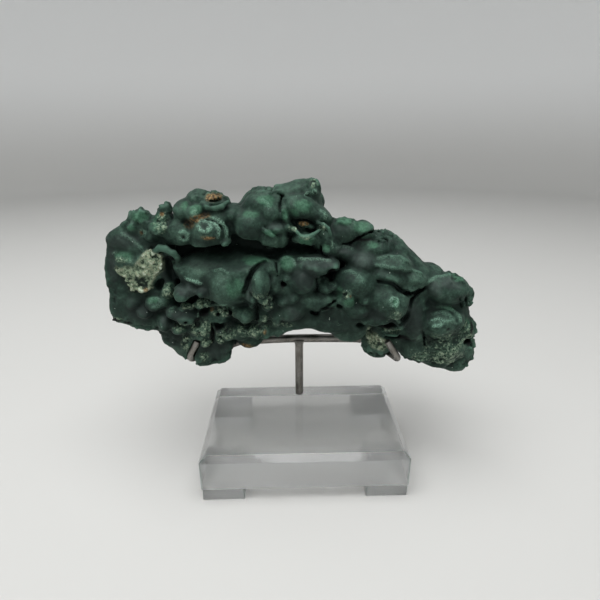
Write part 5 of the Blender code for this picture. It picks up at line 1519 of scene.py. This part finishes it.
class Graph:
    """Short calls that build one material's nodes."""

    def __init__(self, name):
        self.material = bpy.data.materials.new(name)
        self.material.use_nodes = True
        self.tree = self.material.node_tree
        self.shader = self.tree.nodes["Principled BSDF"]
        self.output = self.tree.nodes["Material Output"]
        self.place = self.tree.nodes.new("ShaderNodeTexCoord").outputs["Object"]

    def set(self, socket, value):
        """Give a socket a number, a colour or a link."""
        if isinstance(value, bpy.types.NodeSocket):
            self.tree.links.new(value, socket)
        elif isinstance(value, tuple):
            socket.default_value = (*value, 1.0) if len(value) == 3 else value
        else:
            socket.default_value = value

    def principled(self, **values):
        """Set the shader's sockets, whose names have spaces where these have underscores."""
        for name, value in values.items():
            self.set(self.shader.inputs[name.replace("_", " ")], value)

    def attribute(self, name):
        """A number that is stored at the mesh's vertices."""
        node = self.tree.nodes.new("ShaderNodeAttribute")
        node.attribute_name = name
        return node.outputs["Fac"]

    def math(self, operation, a, b=0.0, clamp=False):
        node = self.tree.nodes.new("ShaderNodeMath")
        node.operation = operation
        node.use_clamp = clamp
        self.set(node.inputs[0], a)
        self.set(node.inputs[1], b)
        return node.outputs[0]

    def times(self, a, b):
        return self.math("MULTIPLY", a, b)

    def plus(self, a, b):
        return self.math("ADD", a, b)

    def span(self, value, low, high, to_low=0.0, to_high=1.0):
        """Map low..high onto to_low..to_high, smooth and clamped."""
        node = self.tree.nodes.new("ShaderNodeMapRange")
        node.interpolation_type = "SMOOTHSTEP"
        for name, number in zip(("Value", "From Min", "From Max", "To Min", "To Max"),
                                (value, low, high, to_low, to_high)):
            self.set(node.inputs[name], number)
        return node.outputs["Result"]

    def mix(self, share, a, b):
        """Colour a where the share is 0, and b where it is 1."""
        node = self.tree.nodes.new("ShaderNodeMix")
        node.data_type = "RGBA"
        self.set(node.inputs["Factor"], share)
        self.set(node.inputs["A"], a)
        self.set(node.inputs["B"], b)
        return node.outputs["Result"]

    def over(self, base, colour, share, strength):
        """The base with a colour laid over it, by a share that is weakened first."""
        return self.mix(self.times(share, strength), base, colour)

    def stretched(self, upright):
        """Object coordinates scaled so that a texture is drawn out up and down."""
        node = self.tree.nodes.new("ShaderNodeMapping")
        self.set(node.inputs["Vector"], self.place)
        node.inputs["Scale"].default_value = (1.0, 1.0, upright)
        return node.outputs["Vector"]

    def noise(self, size, detail=3.0, roughness=0.55, distortion=0.0, place=None):
        """Cloudy noise whose features are about this many millimetres."""
        node = self.tree.nodes.new("ShaderNodeTexNoise")
        self.set(node.inputs["Vector"], place or self.place)
        self.set(node.inputs["Scale"], 1 / (size * MM))
        self.set(node.inputs["Detail"], detail)
        self.set(node.inputs["Roughness"], roughness)
        self.set(node.inputs["Distortion"], distortion)
        return node.outputs["Fac"]

    def cells(self, size, output="Distance"):
        """Cells of about this many millimetres: the distance to a middle, or a random colour."""
        node = self.tree.nodes.new("ShaderNodeTexVoronoi")
        self.set(node.inputs["Vector"], self.place)
        self.set(node.inputs["Scale"], 1 / (size * MM))
        return node.outputs[output]

    def colours(self, value, stops):
        """A colour ramp: positions and colours."""
        node = self.tree.nodes.new("ShaderNodeValToRGB")
        band = node.color_ramp
        while len(band.elements) < len(stops):
            band.elements.new(0.5)
        for element, (position, colour) in zip(band.elements, stops):
            element.position = position
            element.color = (*colour, 1.0)
        self.set(node.inputs["Fac"], value)
        return node.outputs["Color"]

    def bump(self, height, strength, distance, under=None):
        """A normal that a height tilts, at most this many millimetres high."""
        node = self.tree.nodes.new("ShaderNodeBump")
        self.set(node.inputs["Height"], height)
        node.inputs["Strength"].default_value = strength
        node.inputs["Distance"].default_value = distance * MM
        if under:
            self.set(node.inputs["Normal"], under)
        return node.outputs["Normal"]


def green_body(g, grain, fold, cloudy, fine):
    """Dark green and grey lobes, brighter on convex edges and crests; darker places are partly
    painted shade, and the pale raised lines partly painted highlight.
    """
    tone = g.plus(g.times(g.noise(*BROAD), 0.35), g.times(cloudy, 0.35))
    base = g.colours(g.plus(tone, g.times(fine, 0.30)), GREENS)
    base = g.over(base, g.colours(cloudy, GREYS), g.attribute("grey"), 0.65)
    edge = g.span(g.plus(fold, g.times(cloudy, 0.5)), 0.85, 1.60)
    base = g.over(base, CREST_GREEN, edge, 0.6)
    # Darker places: partly darker stone, partly painted shade.
    base = g.over(base, DARK_TONE_AND_SHADE_GREEN, g.attribute("dark_tone_and_shade"), 0.55)
    base = g.over(base, g.colours(fine, BRIGHT_GREENS), g.attribute("bright"), 0.6)
    speckle = g.noise(*SPECKLE)
    # Pale crystals and rims; the glint spots among them are painted highlights.
    pale = g.times(g.attribute("pale"), g.span(g.plus(grain, fine), 0.3, 1.2))
    base = g.over(base, PALE_GREEN, g.times(pale, g.span(speckle, 0.40, 0.60)), 0.65)
    # Pale along the raised lines: pale rims, partly painted highlight on their crests.
    line = g.times(g.attribute("line"), g.span(speckle, 0.35, 0.60))
    return g.over(base, RIM_AND_HIGHLIGHT_GREEN, line, 0.75)


def crusted(g, base, grain, cloudy, fine, facets):
    """Crystal crusts, pale rubbly matrix and rust, where the stone has them."""
    # The crusts' tone varies from cell to cell, and painted shade darkens their small pits.
    crust_tone_and_pit_shade = g.plus(g.times(grain, 0.12), g.times(facets, 0.55))
    crust_tone_and_pit_shade = g.plus(crust_tone_and_pit_shade, g.times(fine, 0.45))
    base = g.over(base, g.colours(crust_tone_and_pit_shade, CRUST_COLOURS), g.attribute("crystal"), 0.75)
    rubble = g.mix(0.5, g.cells(RUBBLE_SIZE, "Color"), g.cells(GRIT_SIZE, "Color"))
    rubble = g.colours(g.plus(g.times(rubble, 0.75), g.times(grain, 0.30)), RUBBLE_COLOURS)
    rubble = g.mix(g.span(cloudy, 0.45, 0.62, 0.0, 0.45), rubble, RUBBLE_DIRT)
    base = g.mix(g.attribute("matrix"), base, rubble)
    rusty = g.times(g.attribute("rust"), g.span(g.noise(*RUST_EDGE), 0.30, 0.50))
    return g.over(base, g.colours(g.noise(*RUST_GRAIN), RUST_COLOURS), rusty, 0.9)


def painted_shade(g, base, fold):
    """Painted shade: darker where the surface is hollow or enclosed, and black in the holes."""
    crease = g.span(fold, -0.80, 0.35, 1.0, 0.0)
    deep = g.span(g.attribute("recess_shade_mask"), -0.02, 0.40)
    dark = g.math("MAXIMUM", g.times(crease, 0.85), g.times(deep, 0.92))
    # Painted shade in creases and recesses.
    base = g.mix(dark, base, PAINTED_CREASE_SHADE)
    # Painted shade: black in the holes.
    return g.mix(g.attribute("shaded_holes"), base, PAINTED_HOLE_SHADE)


def painted_glints(g, base):
    """A few tiny painted glints: pale specks that stand in for highlights."""
    spot = g.math("LESS_THAN", g.cells(GLINT_SIZE), GLINT_REACH)
    chosen = g.math("GREATER_THAN", g.cells(GLINT_SIZE, "Color"), GLINT_CHOICE)
    return g.over(base, PAINTED_GLINT_COLOUR, g.times(spot, chosen), 0.8)


def malachite_material():
    """Velvety dark green lobes, paler convex edges, crystal crusts, matrix and rust, with painted
    shade and painted glints.
    """
    g = Graph("malachite")
    grain, fold = g.attribute("grain"), g.attribute("fold")
    crystal, matrix = g.attribute("crystal"), g.attribute("matrix")
    cloudy, fine = g.noise(*CLOUDY), g.noise(*FINE)
    facets = g.cells(FACET_SIZE, "Color")
    base = crusted(g, green_body(g, grain, fold, cloudy, fine), grain, cloudy, fine, facets)
    base = painted_glints(g, painted_shade(g, base, fold))

    rough = g.math("ADD", crystal, matrix, clamp=True)
    relief = g.plus(g.times(fine, 0.6), g.times(facets, rough))
    normal = g.bump(g.noise(*DIMPLES), 0.35, 0.5)
    normal = g.bump(relief, 0.55, 0.35, normal)
    normal = g.bump(g.noise(*TOOTH), 0.25, 0.15, normal)
    gloss = g.span(g.plus(fine, g.times(crystal, -0.25)), 0.2, 0.8, 0.50, 0.82)
    g.principled(Base_Color=base, Roughness=gloss, Normal=normal, Specular_IOR_Level=0.18,
                 Sheen_Weight=0.04, Sheen_Roughness=0.45, Sheen_Tint=(0.62, 0.82, 0.72))
    return g.material


def steel_material():
    """Brushed rod, grey with a warm tint, darker and browner where it was heated."""
    g = Graph("brushed_steel")
    streaks = g.noise(*STREAKS, place=g.stretched(STREAK_DRAW))
    cloud = g.noise(*STEEL_CLOUD)
    base = g.over(g.colours(cloud, STEEL_COLOURS), HEATED_STEEL, g.attribute("heat"), 0.85)
    base = g.mix(g.span(streaks, 0.35, 0.75, 0.0, 0.35), base, STREAK_STEEL)
    g.principled(Base_Color=base, Metallic=1.0, Roughness=g.span(cloud, 0.3, 0.7, 0.30, 0.46),
                 Normal=g.bump(streaks, 0.35, 0.10))
    return g.material


def acrylic_material():
    """Clear cast acrylic with faint handling marks and a sawn underside."""
    g = Graph("clear_acrylic")
    marks = g.span(g.noise(*HANDLING), 0.40, 0.70, 0.05, 0.14)
    height = g.tree.nodes.new("ShaderNodeSeparateXYZ")
    g.set(height.inputs[0], g.place)
    low, high = [(BLOCK_BOTTOM + rise) * MM for rise in SAWN_BAND]
    sawn = g.span(height.outputs["Z"], low, high, 0.35, 0.0)
    g.principled(Base_Color=ACRYLIC, Roughness=g.math("MAXIMUM", marks, sawn),
                 Normal=g.bump(g.noise(*WAVES), 0.04, 0.20), Transmission_Weight=1.0, IOR=1.49)
    absorb = g.tree.nodes.new("ShaderNodeVolumeAbsorption")
    absorb.inputs["Color"].default_value = ACRYLIC_DEPTH
    absorb.inputs["Density"].default_value = 0.7
    g.tree.links.new(absorb.outputs["Volume"], g.output.inputs["Volume"])
    return g.material


def floor_material():
    """Plain pale paper, paler where it rises as the backdrop."""
    g = Graph("floor")
    wall = g.span(g.attribute("rise"), 0.02, 0.5)
    g.principled(Base_Color=g.mix(wall, PAPER, BACKDROP), Roughness=0.85)
    return g.material


# ---------------------------------------------------------------- stage, lights and camera

def build_stage():
    """A round pale floor that curves up into a backdrop on every side."""
    profile = [(FLOOR_RADIUS, -FLOOR_GAP)]
    for step in range(1, SWEEP_STEPS + 1):
        angle = pi / 2 * step / SWEEP_STEPS
        profile.append((FLOOR_RADIUS + SWEEP_RADIUS * sin(angle), SWEEP_RADIUS * (1 - cos(angle))))
    profile.append((FLOOR_RADIUS + SWEEP_RADIUS, SWEEP_TOP))
    shape = bmesh.new()
    rings = []
    for reach, z in profile:
        turns = [2 * pi * side / SWEEP_SIDES for side in range(SWEEP_SIDES)]
        rings.append([shape.verts.new((reach * cos(t), reach * sin(t), z)) for t in turns])
    bridge(shape, rings[::-1])
    for face in shape.faces:
        face.smooth = True
    floor = shape.faces.new(rings[0])
    floor.smooth = False
    mesh = finished_mesh("floor", shape)
    mark(mesh, "rise", [vertex.co.z for vertex in mesh.vertices])
    mesh.materials.append(floor_material())
    new_object("floor", mesh)


def add_light(name, place, size, power):
    """A soft rectangular light that faces the stone. Places in millimetres, power in watts."""
    light = bpy.data.lights.new(name, "AREA")
    light.shape = "RECTANGLE"
    light.size, light.size_y = size[0] * MM, size[1] * MM
    light.energy = power
    item = new_object(name, light)
    item.location = Vector(place) * MM
    toward = Vector(LIGHT_AIM) - Vector(place)
    item.rotation_euler = toward.to_track_quat("-Z", "Y").to_euler()


def build_lights():
    """Pale surroundings, one broad soft light overhead and a weak one in front."""
    world = bpy.data.worlds.new("pale_room")
    world.use_nodes = True
    sky = world.node_tree.nodes["Background"]
    sky.inputs["Color"].default_value = WORLD_COLOUR
    sky.inputs["Strength"].default_value = WORLD_STRENGTH
    bpy.context.scene.world = world
    for row in LIGHTS:
        add_light(*row)


def build_camera():
    """The camera at the viewing angle that the object is shown from."""
    camera = bpy.data.cameras.new("camera")
    camera.sensor_fit = "HORIZONTAL"
    camera.sensor_width = SENSOR
    camera.lens = CAMERA_LENS
    camera.clip_start, camera.clip_end = CLIP_NEAR, CLIP_FAR
    item = new_object("camera", camera)
    right, up, forward = camera_axes()
    turn = Matrix((right, up, -forward)).transposed().to_4x4()
    item.matrix_world = Matrix.Translation(Vector(CAMERA_PLACE) * MM) @ turn
    bpy.context.scene.camera = item


def main():
    """Build every piece, the stage, the lights and the camera."""
    build_camera()
    build_stage()
    build_lights()
    bpy.context.scene.view_settings.view_transform = "Standard"
    acrylic, steel = acrylic_material(), steel_material()
    build_block(acrylic)
    for depth, side_y in (("front", -1), ("rear", 1)):
        for side, side_x in (("left", -1), ("right", 1)):
            build_foot(depth, side_y, side, side_x, acrylic)
    bar = crossbar_points()
    left, right = round_corners(ARM_LEFT_ROUTE), round_corners(ARM_RIGHT_ROUTE)
    build_armature(steel, bar, left, right)
    build_stone(bar, left, right)


main()
